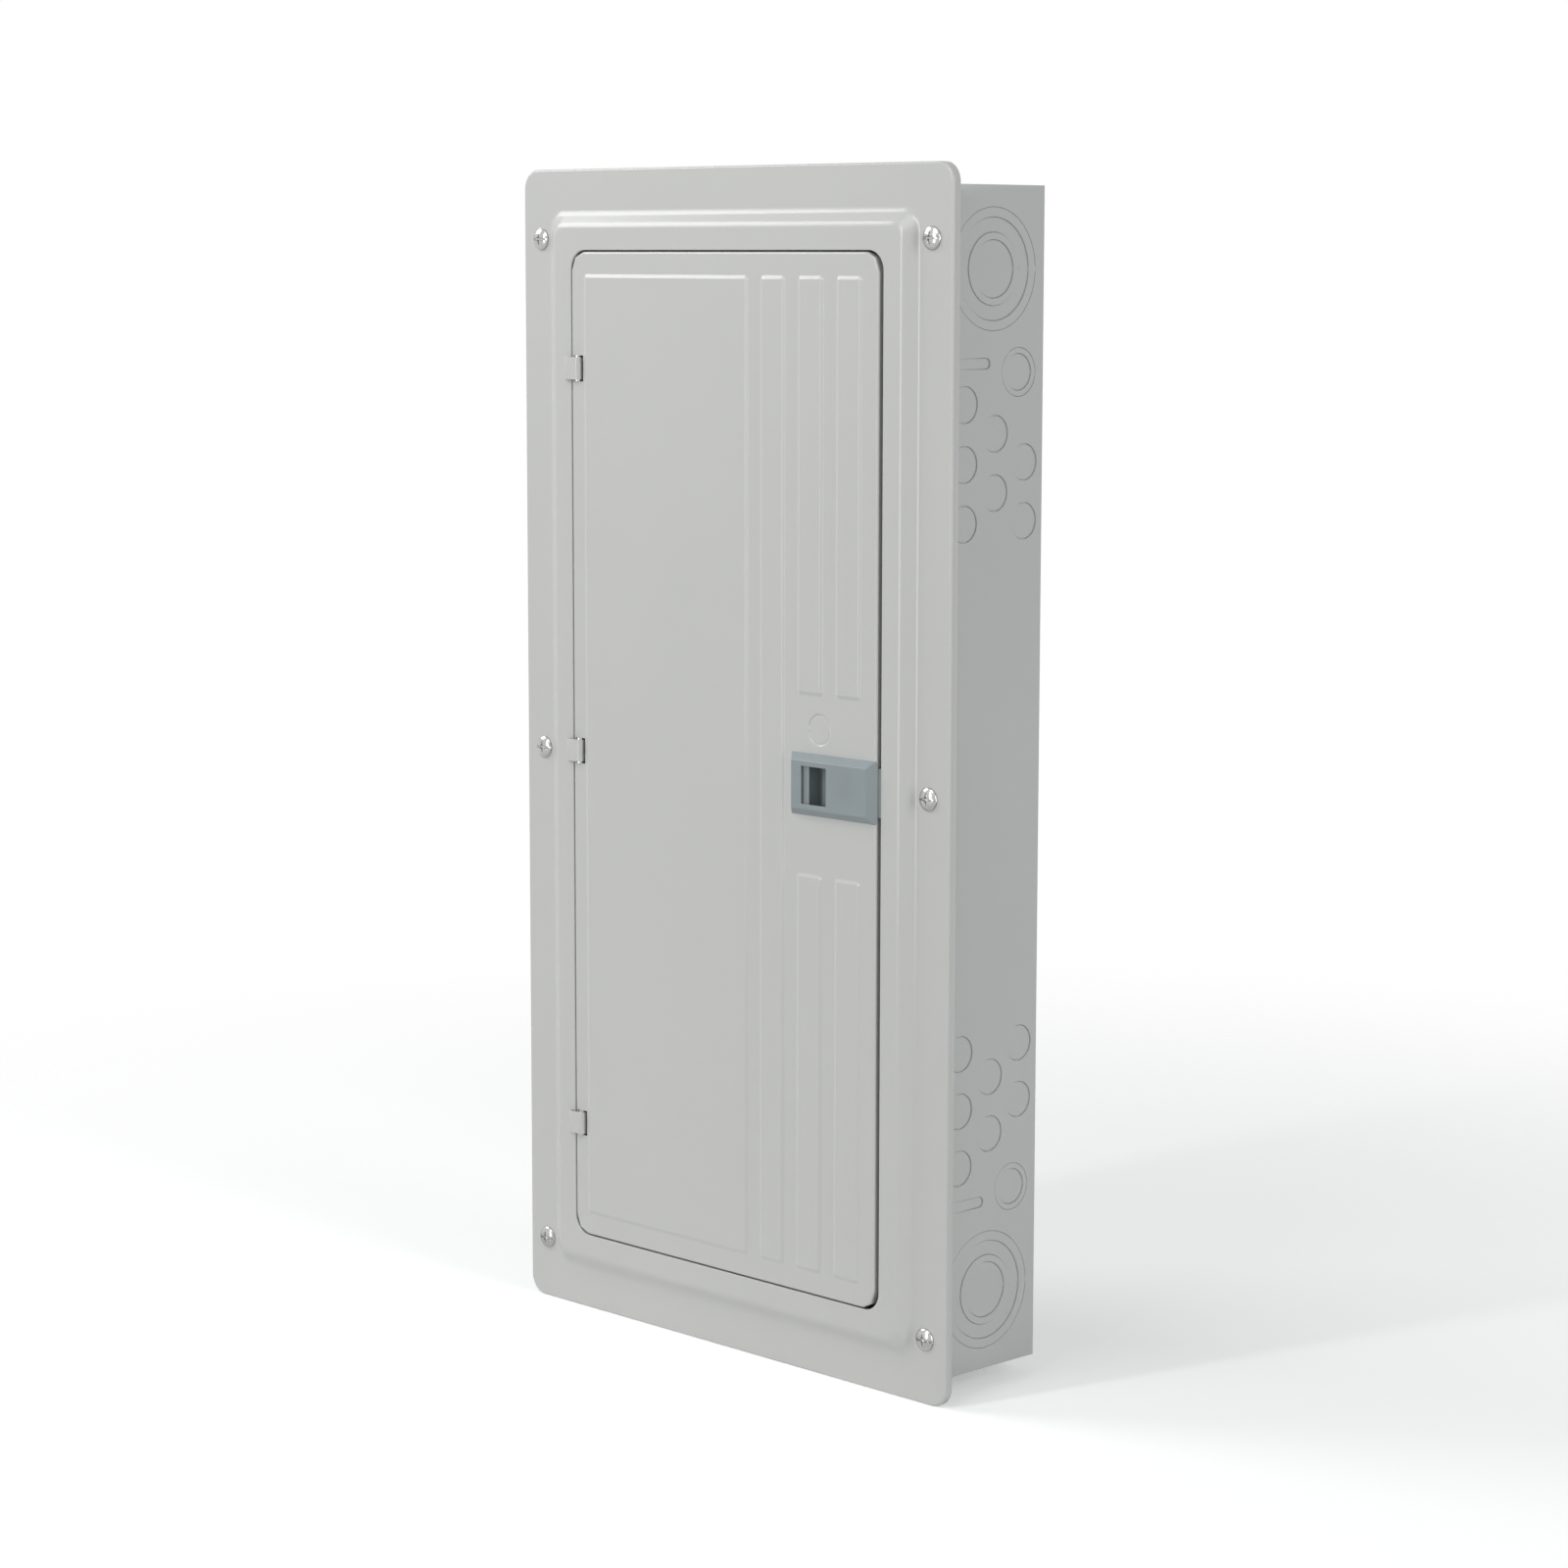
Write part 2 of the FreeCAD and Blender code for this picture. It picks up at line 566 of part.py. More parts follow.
def knockout_stacks():
    """A large stack of four rings, a double one and a single one."""
    large = [
        slit_ring(sheet.ring_a, (90, 270)),
        slit_ring(sheet.ring_b, (55, 270)),
        slit_ring(sheet.ring_c, (125, 270)),
        slit_ring(sheet.ring_d, (90, 270)),
    ]
    double = [slit_ring(sheet.ring_small, (0, 180)), slit_ring(sheet.ring_medium, (90, 270))]
    single = [slit_ring(sheet.ring_small, (90, 270))]
    return large, double, single


def stamp(stack, centre, normal):
    """Copies of a stack's slits, moved to a place on a wall."""
    place = Placement(centre, Rotation(Vector(0, 0, 1), normal))
    return [slit.transformed(place.toMatrix()) for slit in stack]


def tab_slit(side, up):
    """The U-shaped slit around a stud positioning tab, round at its rear end."""
    half = sheet.tab_width / 2
    x = side * sheet.box_width / 2
    middle = Vector(x - 2 * sheet.box_gauge, -sheet.tab_end - half, up * sheet.tab_z)
    along = Vector(1, 0, 0)

    def blank(reach):
        disc_shape = Part.makeCylinder(reach, 4 * sheet.box_gauge, middle, along)
        corner = middle - Vector(0, sheet.tab_root - sheet.tab_end - half, reach)
        slab = Part.makeBox(4 * sheet.box_gauge, middle.y - corner.y, 2 * reach, corner)
        return disc_shape.fuse(slab)

    return blank(half + sheet.slit).cut(blank(half))


def side_slits():
    """Every sheared slit in the two side walls."""
    large, double, single = knockout_stacks()
    near, middle, far = sheet.near_level, sheet.middle_level, sheet.far_level
    pitch, first = sheet.knockout_pitch, sheet.knockout_z
    places = [(large, sheet.big_level, sheet.big_z), (double, sheet.pair_level, sheet.pair_z)]
    places += [(single, near, first + i * pitch) for i in range(3)]
    places += [(single, middle, first + (i + 0.5) * pitch) for i in range(2)]
    places += [(single, far, first + i * pitch) for i in range(2)]
    slits = []
    for side in (-1, 1):
        for up in (-1, 1):
            for stack, level, z in places:
                centre = Vector(side * sheet.box_width / 2, -level, up * z)
                slits += stamp(stack, centre, Vector(side, 0, 0))
            slits.append(tab_slit(side, up))
    return Part.makeCompound(slits)


def end_slits(up):
    """Every sheared slit in one end wall: two large stacks, two double ones and a row of singles."""
    large, double, single = knockout_stacks()
    slits = []
    for side in (-1, 1):
        places = (
            (large, side * sheet.end_big_x, sheet.big_level),
            (double, side * sheet.end_pair_x, sheet.near_level),
            (single, side * sheet.end_pair_x, sheet.pair_level),
        )
        for stack, x, level in places:
            centre = Vector(x, -level, up * sheet.box_height / 2)
            slits += stamp(stack, centre, Vector(0, 0, up))
    return Part.makeCompound(slits)


def slit_tool(name, shape):
    """Slits as one cutting tool: rings with ties are quicker to build than to sketch."""
    made = doc.addObject("Part::Feature", name)
    made.Shape = shape
    return made


SCREW_ROWS = (-1, 0, 1)


def ear_places():
    """Side and height of each trim ear and its screw."""
    heights = [f"(({row})*(box_height/2-screw_down)-screw_drop)" for row in SCREW_ROWS]
    return [(side, z) for side in (-1, 1) for z in heights]


def make_wrapper():
    """Back and two sides, folded from one sheet, with six ears folded in for the trim screws."""
    x, z = "box_width/2", "box_height/2"
    outer = block("wrapper_blank", f"-{x}", x, 0, "box_depth", f"-{z}", z)
    inside = f"({x}-box_gauge)"
    hollow = block("wrapper_inside", f"-{inside}", inside, "box_gauge", "2*box_depth", f"-2*{z}", f"2*{z}")
    shell = cut("wrapper_shell", outer, [hollow])
    ears, windows, holes = [], [], []
    for i, (side, mid) in enumerate(ear_places()):
        ends = [f"({side})*({x}-ear_reach)", f"({side})*{x}"]
        low, high = sorted(ends, key=value)
        ears.append(block(f"ear_{i}", low, high, "box_depth-box_gauge", "box_depth",
                          f"{mid}-ear_height/2", f"{mid}+ear_height/2"))
        ends = [f"({side})*{inside}", f"({side})*({x}+box_gauge)"]
        low, high = sorted(ends, key=value)
        windows.append(block(f"window_{i}", low, high, "box_depth-ear_window_depth", "2*box_depth",
                             f"{mid}-ear_window/2", f"{mid}+ear_window/2"))
        holes.append(rod(f"ear_hole_{i}", "screw_shank+screw_clear", "front", f"({side})*{AT['screw_x']}",
                         "box_depth-2*box_gauge", mid, "4*box_gauge"))
    for i, side in enumerate((-1, 1)):
        for j, up in enumerate((-1, 1)):
            holes.append(rod(f"wall_hole_{i}{j}", "wall_hole_radius", "front",
                             f"({side})*wall_hole_spacing_x/2", "-box_gauge",
                             f"({up})*wall_hole_spacing_z/2", "3*box_gauge"))
    for i, (px, pz) in enumerate(pan_feet()):
        holes.append(rod(f"foot_hole_{i}", "pan_screw", "front", px, "-box_gauge", pz, "3*box_gauge"))
    formed = fuse("wrapper_formed", [shell] + ears)
    tools = windows + holes + [slit_tool("side_slits", side_slits())]
    keep(cut("wrapper", formed, tools), "box_wrapper")


def make_end_wall(name, up):
    """An end wall with flanges folded along the sides and the back, spot-welded inside the wrapper."""
    x, face = "box_width/2-box_gauge", "box_height/2"
    edges = (face, f"({face}-box_gauge)", f"({face}-end_flange)")
    outer, under, foot = [f"({up})*{e}" for e in edges]

    def slab(label, x0, x1, back, front, z0, z1):
        low, high = sorted((z0, z1), key=value)
        return block(f"{name}_{label}", x0, x1, back, front, low, high)

    plates = [slab("plate", f"-({x})", x, "box_gauge", "box_depth", under, outer)]
    plates.append(slab("back", f"-({x})", x, "box_gauge", "2*box_gauge", foot, outer))
    for side in (-1, 1):
        low, high = sorted((f"({side})*({x})", f"({side})*({x}-box_gauge)"), key=value)
        plates.append(slab(f"side_{side + 1}", low, high, "box_gauge", "box_depth", foot, outer))
    formed = fuse(f"{name}_formed", plates)
    keep(cut(name + "_cut", formed, [slit_tool(f"{name}_slits", end_slits(up))]), name)


# ---- Trim and door: drawn sheet with raised, embossed panels ----


def emboss(body, name, level, sizes, rise, run, gauge):
    """A raised panel: its outside added at a level, and the same shape taken from behind."""
    x0, x1, z0, z1, corner = sizes
    taper = f"-atan({run}/{rise})"
    pad(body, rounded(body, name, level, x0, x1, z0, z1, corner), rise, taper)
    return (name, level, sizes, rise, run, gauge, taper)


def hollow_emboss(body, raised):
    """The hollow behind a raised panel, so that its sheet keeps its gauge all the way."""
    name, level, (x0, x1, z0, z1, corner), rise, run, gauge, taper = raised
    inset = f"({gauge}*(sqrt({rise}^2+{run}^2)-{run})/{rise})"
    edges = (f"{x0}+{inset}", f"{x1}-{inset}", f"{z0}+{inset}", f"{z1}-{inset}")
    inside = rounded(body, name + "_back", f"{level}-{gauge}", *edges, f"{corner}-{inset}")
    pocket(body, inside, rise, taper)


def make_trim():
    """Flat flange with a turned edge, a raised frame, and a lip turned in around the opening."""
    body = new_body("trim")
    back = f"({AT['front']}-trim_lip)"
    wide, tall = centred(AT["trim_width"]), centred(AT["trim_height"])
    pad(body, rounded(body, "trim_outer", back, *wide, *tall, "trim_corner"), "trim_lip")
    step = (*centred("step_width"), *centred("step_height"), "step_corner")
    raised = emboss(body, "trim_step", AT["front"], step, "step_rise", "step_run", "trim_gauge")
    wide = centred(f"{AT['trim_width']}-2*trim_gauge")
    tall = centred(f"{AT['trim_height']}-2*trim_gauge")
    inner = rounded(body, "trim_inner", back, *wide, *tall, "trim_corner-trim_gauge")
    pocket(body, inner, "trim_lip-trim_gauge")
    hollow_emboss(body, raised)
    lip_back = f"{AT['plateau']}-opening_lip"
    left, right = "door_width/2+door_gap_left", "door_width/2+door_gap_right"
    half = "door_height/2+door_gap_z"
    corner = "door_corner+door_gap_z"
    lip = rounded(body, "trim_opening_lip", lip_back, f"-({left}+trim_gauge)", f"{right}+trim_gauge",
                  f"-({half}+trim_gauge)", f"{half}+trim_gauge", f"{corner}+trim_gauge")
    pad(body, lip, "opening_lip-trim_gauge/2")
    opening = rounded(body, "trim_opening", f"{lip_back}-1", f"-({left})", right, f"-({half})", half, corner)
    pocket(body, opening, "opening_lip+2")
    holes = [
        rod(f"trim_hole_{i}", "screw_shank+screw_clear", "front", f"({side})*{AT['screw_x']}",
            f"{AT['front']}-2*trim_gauge", z, "4*trim_gauge")
        for i, (side, z) in enumerate(ear_places())
    ]
    keep(cut("trim_drilled", body, holes), "trim_panel")


def make_trim_screws():
    """Six truss-head screws with a slot and a cross."""
    screws = []
    for i, (side, z) in enumerate(ear_places()):
        x, level = f"({side})*{AT['screw_x']}", AT["front"]
        head = rod(f"screw_head_{i}", "screw_head", "front", x, level, z, "screw_dome", "screw_head*0.5")
        shank = rod(f"screw_shank_{i}", "screw_shank", "front", x, f"{level}-screw_length", z,
                    "screw_length+screw_dome/2")
        slot = block(f"screw_slot_{i}", f"{x}-screw_head", f"{x}+screw_head",
                     f"{level}+screw_dome-screw_slot_depth",
                     f"{level}+screw_dome+1", f"{z}-screw_slot_width/2", f"{z}+screw_slot_width/2")
        screws.append(cut(f"screw_{i}", fuse(f"screw_blank_{i}", [head, shank]), [slot]))
    keep(gather("trim_screw_set", screws), "trim_screws")


def door_panels():
    """Edges of the door's embossed panels: left, right, bottom, top."""
    top = "panel_top"
    ribs = [f"rib_left+{i}*rib_pitch" for i in range(3)]
    return [
        ("wide_left", "wide_right", f"-{top}", top),
        (ribs[0], f"{ribs[0]}+rib_width", f"-{top}", top),
        (ribs[1], f"{ribs[1]}+rib_width", "upper_end", top),
        (ribs[2], f"{ribs[2]}+rib_width", "upper_end", top),
        (ribs[1], f"{ribs[1]}+rib_width", f"-{top}", "lower_end"),
        (ribs[2], f"{ribs[2]}+rib_width", f"-{top}", "lower_end"),
    ]


def hinge_rows():
    return [f"({row})*hinge_pitch" for row in (-1, 0, 1)]


def about_latch(half):
    """The two limits of a height centred on the middle of the latch."""
    return f"latch_z-({half})", f"latch_z+({half})"


def make_door():
    """Door sheet with a turned edge, six embossed panels, a lock knockout and cut-outs."""
    body = new_body("door")
    wide, tall = centred("door_width"), centred("door_height")
    pad(body, rounded(body, "door_outer", AT["door_edge"], *wide, *tall, "door_corner"), "door_flange")
    raised = [
        emboss(body, f"door_panel_{i}", AT["door_front"], (*edges, "panel_corner"),
               "panel_rise", "panel_run", "door_gauge")
        for i, edges in enumerate(door_panels())
    ]
    wide, tall = centred("door_width-2*door_gauge"), centred("door_height-2*door_gauge")
    inner = rounded(body, "door_inner", AT["door_edge"], *wide, *tall, "door_corner-door_gauge")
    pocket(body, inner, "door_flange-door_gauge")
    for panel in raised:
        hollow_emboss(body, panel)
    eye = "(pin_radius+pin_clear+strap_gauge)"
    for i, z in enumerate(hinge_rows()):
        reach = "(strap_height/2+slot_margin)"
        slot = rectangle(body, f"hinge_slot_{i}", f"{AT['door_back']}-1", f"{AT['hinge_x']}-{eye}-slot_side",
                         f"{AT['hinge_x']}+slot_right", f"{z}-{reach}", f"{z}+{reach}")
        pocket(body, slot, "door_gauge+2")
    hole = rectangle(body, "latch_cutout", f"{AT['door_back']}-1", "skirt_left-skirt_clear",
                     "skirt_right+skirt_clear", *about_latch("skirt_height/2+skirt_clear"))
    pocket(body, hole, "door_gauge+2")
    notch = rectangle(body, "tongue_notch", f"{AT['door_edge']}-1", "skirt_right", "door_width",
                      *about_latch("slider_height/2+skirt_clear"))
    pocket(body, notch, "door_flange-door_gauge+1")
    level = f"{AT['door_front']}-lock_blank_groove"
    disc_tool = rod("lock_disc", "lock_blank_radius", "front", "lock_blank_x", level, "lock_blank_z", 3)
    core = rod("lock_core", "lock_blank_radius-slit", "front", "lock_blank_x", f"{level}-1",
               "lock_blank_z", 5)
    keep(cut("door_marked", body, [cut("lock_ring", disc_tool, [core])]), "door_panel")


def make_directory_card():
    """Circuit directory card, stuck to the back of the wide panel."""
    left = "(wide_left+panel_run+card_margin)"
    level = f"({AT['door_back']}+panel_rise)"
    low, high = centred("card_height")
    card = block("card", left, f"{left}+card_width", f"{level}-card_gauge", level, low, high)
    keep(card, "directory_card")


# ---- Hinges: straps on the trim, pins behind the door ----


def make_hinges():
    """Straps curled round pins; each pin's ends are ground half flat and welded behind the door."""
    x, level = AT["hinge_x"], AT["hinge_level"]
    bore = "(pin_radius+pin_clear)"
    eye = f"({bore}+strap_gauge)"
    straps, pins = [], []
    for i, z in enumerate(hinge_rows()):
        low, high = f"({z}-strap_height/2)", f"({z}+strap_height/2)"
        body = new_body(f"strap_leaf_{i}")
        top, under = f"-({level}+{eye})", f"-({level}+{bore})"
        leaf = outline(body, f"strap_leaf_sketch_{i}", "XY_Plane", low, [
            (x, under), (x, top), (f"{x}-strap_bend", top), (f"{x}-strap_foot", f"-{AT['plateau']}-0.2"),
            (f"{x}-strap_foot", f"-{AT['plateau']}"), (f"{x}-strap_bend", f"-{AT['plateau']}"),
            (f"{x}-strap_bend+strap_gauge/2", under),
        ])
        pad(body, leaf, "strap_height")
        outer = rod(f"strap_eye_{i}", eye, "z", x, level, low, "strap_height")
        blank = fuse(f"strap_blank_{i}", [outer, body])
        hole = rod(f"strap_bore_{i}", bore, "z", x, level, f"{low}-1", "strap_height+2")
        straps.append(cut(f"strap_{i}", blank, [hole]))
        pin = rod(f"pin_{i}", "pin_radius", "z", x, level, f"{z}-pin_length/2", "pin_length")
        reach = "(strap_height/2+slot_margin)"
        edges = ((f"{z}-pin_length", f"{z}-{reach}"), (f"{z}+{reach}", f"{z}+pin_length"))
        flats = [
            block(f"pin_flat_{i}_{j}", f"{x}-2*pin_radius", f"{x}+2*pin_radius", AT["door_back"],
                  f"{level}+2*pin_radius", z0, z1)
            for j, (z0, z1) in enumerate(edges)
        ]
        pins.append(cut(f"pin_ground_{i}", pin, flats))
    keep(gather("strap_set", straps), "hinge_straps")
    keep(gather("pin_set", pins), "hinge_pins")


# ---- Latch: a spring-loaded slider with a finger grip, behind a bezel ----


def make_latch_bezel():
    """Moulded bezel with a finger window, a skirt through the door and a rib for the springs."""
    body = new_body("bezel")
    front = f"({AT['door_front']}+bezel_rise)"
    face = rectangle(body, "bezel_face", AT["door_front"], "bezel_left", "door_width/2",
                     *about_latch("bezel_height/2"))
    pad(body, face, "bezel_rise", "-atan(bezel_bevel/bezel_rise)")
    skirt = rectangle(body, "bezel_skirt", "skirt_back", "skirt_left", "skirt_right",
                      *about_latch("skirt_height/2"))
    pad(body, skirt, f"{AT['door_front']}-skirt_back")
    hollow = rectangle(body, "bezel_hollow", "skirt_back-1", "skirt_left+bezel_wall",
                       "skirt_right-bezel_wall", *about_latch("skirt_height/2-bezel_wall"))
    pocket(body, hollow, f"{front}-bezel_wall-skirt_back+1")
    window = rectangle(body, "bezel_window", f"{front}-2*bezel_wall", "window_left",
                       "window_left+window_width", *about_latch("window_height/2"))
    pocket(body, window, "3*bezel_wall")
    passage = rectangle(body, "bezel_passage", "skirt_back-1", "skirt_right-2*bezel_wall",
                        "skirt_right+1", *about_latch("slider_height/2+skirt_clear"))
    pocket(body, passage, "slider_back+tongue_gauge+skirt_clear-skirt_back+1")
    foot = "(slider_back+slider_floor+skirt_clear)"
    stop = rectangle(body, "bezel_stop", foot, "stop_left", "stop_left+stop_width",
                     *about_latch("skirt_height/2-bezel_wall+0.1"))
    pad(body, stop, f"{front}-bezel_wall-{foot}+0.1")
    keep(body, "latch_bezel")


def make_latch_back_plate():
    """Plate snapped over the back of the skirt; the slider runs on it."""
    plate = block("latch_plate", "skirt_left", "skirt_right", "skirt_back-bezel_wall", "skirt_back",
                  *about_latch("skirt_height/2"))
    keep(plate, "latch_back_plate")


def make_latch_slider():
    """Slider: floor, finger grip, spring lug and a tongue that catches behind the trim's lip."""
    wide, narrow = about_latch("slider_height/2"), about_latch("window_height/2+2")
    floor = "(slider_back+slider_floor)"
    front = f"({AT['door_front']}+bezel_rise-bezel_wall-grip_gap)"
    start = "(skirt_left+bezel_wall+latch_travel+skirt_clear)"
    lug_front = f"{floor}+2*(spring_radius+spring_wire)+1"
    parts = [
        block("slider_base", start, "slider_tip", "slider_back", floor, *wide),
        block("slider_tongue", "skirt_right", "slider_tip", "slider_back", "slider_back+tongue_gauge", *wide),
        block("slider_catch", "tongue_block_left", "tongue_block_right", "slider_back",
              "tongue_block_front", *wide),
        block("slider_grip", start, f"{start}+grip_width", "slider_back", front, *narrow),
        block("slider_lug", "lug_left", "lug_left+lug_width", "slider_back", lug_front, *narrow),
    ]
    keep(fuse("slider", parts), "latch_slider")


def make_latch_springs():
    """Two compression springs between the bezel's rib and the slider's lug."""
    springs = []
    start = "(stop_left+stop_width)"
    length = value(f"lug_left-{start}")
    level = value("slider_back+slider_floor+spring_radius+2*spring_wire")
    for i, side in enumerate((-1, 1)):
        turns = 6
        wire = sheet.spring_wire
        coil = Part.makeHelix((length - 2 * wire) / turns, length - 2 * wire, sheet.spring_radius)
        section = Part.Wire(Part.Circle(Vector(sheet.spring_radius, 0, 0), Vector(0, 1, 0), wire).toShape())
        solid = Part.Wire(coil.Edges).makePipeShell([section], True, True)
        spring = doc.addObject("Part::Feature", f"spring_{i}")
        spring.Shape = solid
        middle = Vector(value(start) + wire, -level, sheet.latch_z + side * sheet.spring_z)
        spring.Placement = Placement(middle, Rotation(Vector(0, 1, 0), 90))
        springs.append(spring)
    keep(gather("spring_set", springs), "latch_springs")


# ---- Deadfront: a plate in a deep frame inside the trim, with openings for the breakers ----


def row_z(index):
    return f"(row_top-({index})*row_pitch)"


def repeat(body, features, sketch, span, count):
    """A row of copies of features along their sketch's vertical axis, downwards."""
    made = body.newObject("PartDesign::LinearPattern", features[0].Name + "_row")
    made.Originals = features
    made.Direction = (sketch, ["V_Axis"])
    made.Reversed = True
    bind(made, "Length", span)
    bind(made, "Occurrences", count)
    body.Tip = made
    doc.recompute()
    return made


def make_deadfront():
    """Plate pierced for breakers, with twistouts elsewhere, and the deep frame that carries it."""
    body = new_body("dead")
    wide, tall = centred("dead_width+2*dead_flange"), centred("dead_height+2*dead_flange")
    level = f"({AT['plateau_back']}-dead_gauge)"
    pad(body, rounded(body, "dead_rim", level, *wide, *tall, "dead_corner+dead_flange"), "dead_gauge")
    wide, tall = centred("dead_width"), centred("dead_height")
    well = rounded(body, "dead_well", "dead_level", *wide, *tall, "dead_corner")
    pad(body, well, f"{level}-dead_level")
    wide, tall = centred("dead_width-2*dead_gauge"), centred("dead_height-2*dead_gauge")
    inner = rounded(body, "dead_inner", AT["dead_front"], *wide, *tall, "dead_corner-dead_gauge")
    pocket(body, inner, "box_depth")
    low, depth = "dead_level-1", "dead_gauge+2"
    half_x, half_z = "(main_nose_width/2+dead_clear)", "(main_nose_height/2+dead_clear)"
    main = rectangle(body, "dead_main", low, f"-{half_x}", half_x, f"main_axis_z-{half_z}",
                     f"main_axis_z+{half_z}")
    pocket(body, main, depth)
    x0, x1 = "(nose_inner-dead_clear)", "(nose_outer+dead_clear)"
    z0, z1 = f"{row_z('rows_fitted-0.5')}-dead_clear", f"{row_z(-0.5)}+dead_clear"
    pocket(body, rectangle(body, "dead_right", low, x0, x1, z0, z1), depth)
    pocket(body, rectangle(body, "dead_left", low, f"-{x1}", f"-{x0}", z0, z1), depth)
    make_twistouts(body, low, depth)
    far = ("-box_width", "box_width")
    ends = ("-box_height", "box_height")
    before = block("before_plate", *far, AT["dead_front"], "2*box_depth", *ends)
    keep(cut("dead_plate", body, [before]), "deadfront")
    behind = block("behind_frame", *far, "-box_depth", AT["dead_front"], *ends)
    keep(cut("dead_frame", body, [behind]), "deadfront_frame")


def make_twistouts(body, low, depth):
    """Slits of the twistouts over the spaces that hold no breaker."""
    x0, x1, z = "nose_inner", "nose_outer", row_z("rows_fitted")
    edge, half = "twist_slit", "(row_pitch/2-1)"
    middle = "(nose_inner+nose_outer)/2"
    tie = "twist_tie/2"
    slots = []
    for side in (-1, 1):
        for z0, z1 in ((f"{z}+{half}-{edge}", f"{z}+{half}"), (f"{z}-{half}", f"{z}-{half}+{edge}")):
            slots.append((side, x0, f"{middle}-{tie}", z0, z1))
            slots.append((side, f"{middle}+{tie}", x1, z0, z1))
        for left in (x0, f"{x1}-{edge}"):
            slots.append((side, left, f"{left}+{edge}", f"{z}-{half}", f"{z}+{half}"))
    cuts = []
    for i, (side, left, right, z0, z1) in enumerate(slots):
        ends = sorted((f"({side})*({left})", f"({side})*({right})"), key=value)
        sketch = rectangle(body, f"twist_{i}", low, *ends, z0, z1)
        cuts.append(pocket(body, sketch, depth))
    repeat(body, cuts, sketch, "(rows-rows_fitted-1)*row_pitch", "rows-rows_fitted")


# ---- Interior: pan, breaker rails, bus insulator and bus bars ----


def pan_feet():
    return [(f"({side})*boss_x", z) for side in (-1, 1) for z in ("pan_top-boss_in", "pan_bottom+boss_in")]


def make_pan():
    """Pressed pan that carries the interior, standing on four drawn feet."""
    half = "pan_width/2"
    plate = block("pan_plate", f"-{half}", half, "pan_level", AT["pan_front"], "pan_bottom", "pan_top")
    feet, cups = [], []
    for i, (x, z) in enumerate(pan_feet()):
        feet.append(rod(f"foot_{i}", "boss_radius", "front", x, "box_gauge", z,
                        f"{AT['pan_front']}-box_gauge"))
        cups.append(rod(f"cup_{i}", "boss_radius-pan_gauge", "front", x, "box_gauge+pan_gauge", z,
                        "pan_level"))
        cups.append(rod(f"cup_hole_{i}", "pan_screw", "front", x, 0, z, "pan_level"))
    bond = rod("pan_bond_hole", "pan_screw", "front", "bond_x", "pan_level-1", bond_z(), "2*pan_gauge")
    keep(cut("pan", fuse("pan_formed", [plate] + feet), cups + [bond]), "interior_pan")


def make_pan_screws():
    """Four screws that hold the pan's feet to the box."""
    screws = []
    for i, (x, z) in enumerate(pan_feet()):
        shank = rod(f"pan_shank_{i}", "pan_screw-thread_clear", "front", x, "0.2", z, "box_gauge+pan_gauge+1")
        head = rod(f"pan_head_{i}", "2*pan_screw", "front", x, "box_gauge+pan_gauge", z, "pan_head",
                   "1.6*pan_screw")
        screws.append(fuse(f"pan_screw_{i}", [shank, head]))
    keep(gather("pan_screw_set", screws), "pan_screws")


def make_rail(name, side):
    """Folded rail that the breakers' outer ends hook under."""
    gauge, foot = "pan_gauge", AT["pan_front"]
    profile = [
        ("rail_left", foot), (f"rail_web+{gauge}", foot), (f"rail_web+{gauge}", f"rail_level-{gauge}"),
        (f"rail_hook+{gauge}", f"rail_level-{gauge}"), (f"rail_hook+{gauge}", "rail_hook_front"),
        ("rail_hook", "rail_hook_front"), ("rail_hook", "rail_level"), ("rail_web", "rail_level"),
        ("rail_web", f"{foot}+{gauge}"), ("rail_left", f"{foot}+{gauge}"),
    ]
    body = new_body(name + "_body")
    corners = [(f"({side})*({x})", f"-({level})") for x, level in profile]
    sketch = outline(body, name + "_profile", "XY_Plane", row_z("rows-0.5"), corners)
    pad(body, sketch, "rows*row_pitch")
    keep(body, name)


def make_bus_insulator():
    """Moulded tray, open at the back, that carries the bus bars."""
    half = "base_width/2"
    low, high = f"({row_z('rows-0.5')}-base_below)", f"({row_z(-0.5)}+base_above)"
    outer = block("base_outer", f"-{half}", half, AT["pan_front"], "base_front", low, high)
    half = f"({half}-base_wall)"
    inner = block("base_inner", f"-{half}", half, f"{AT['pan_front']}-1", "base_front-base_wall",
                  f"{low}+base_wall", f"{high}-base_wall")
    keep(cut("base_shell", outer, [inner]), "bus_insulator")


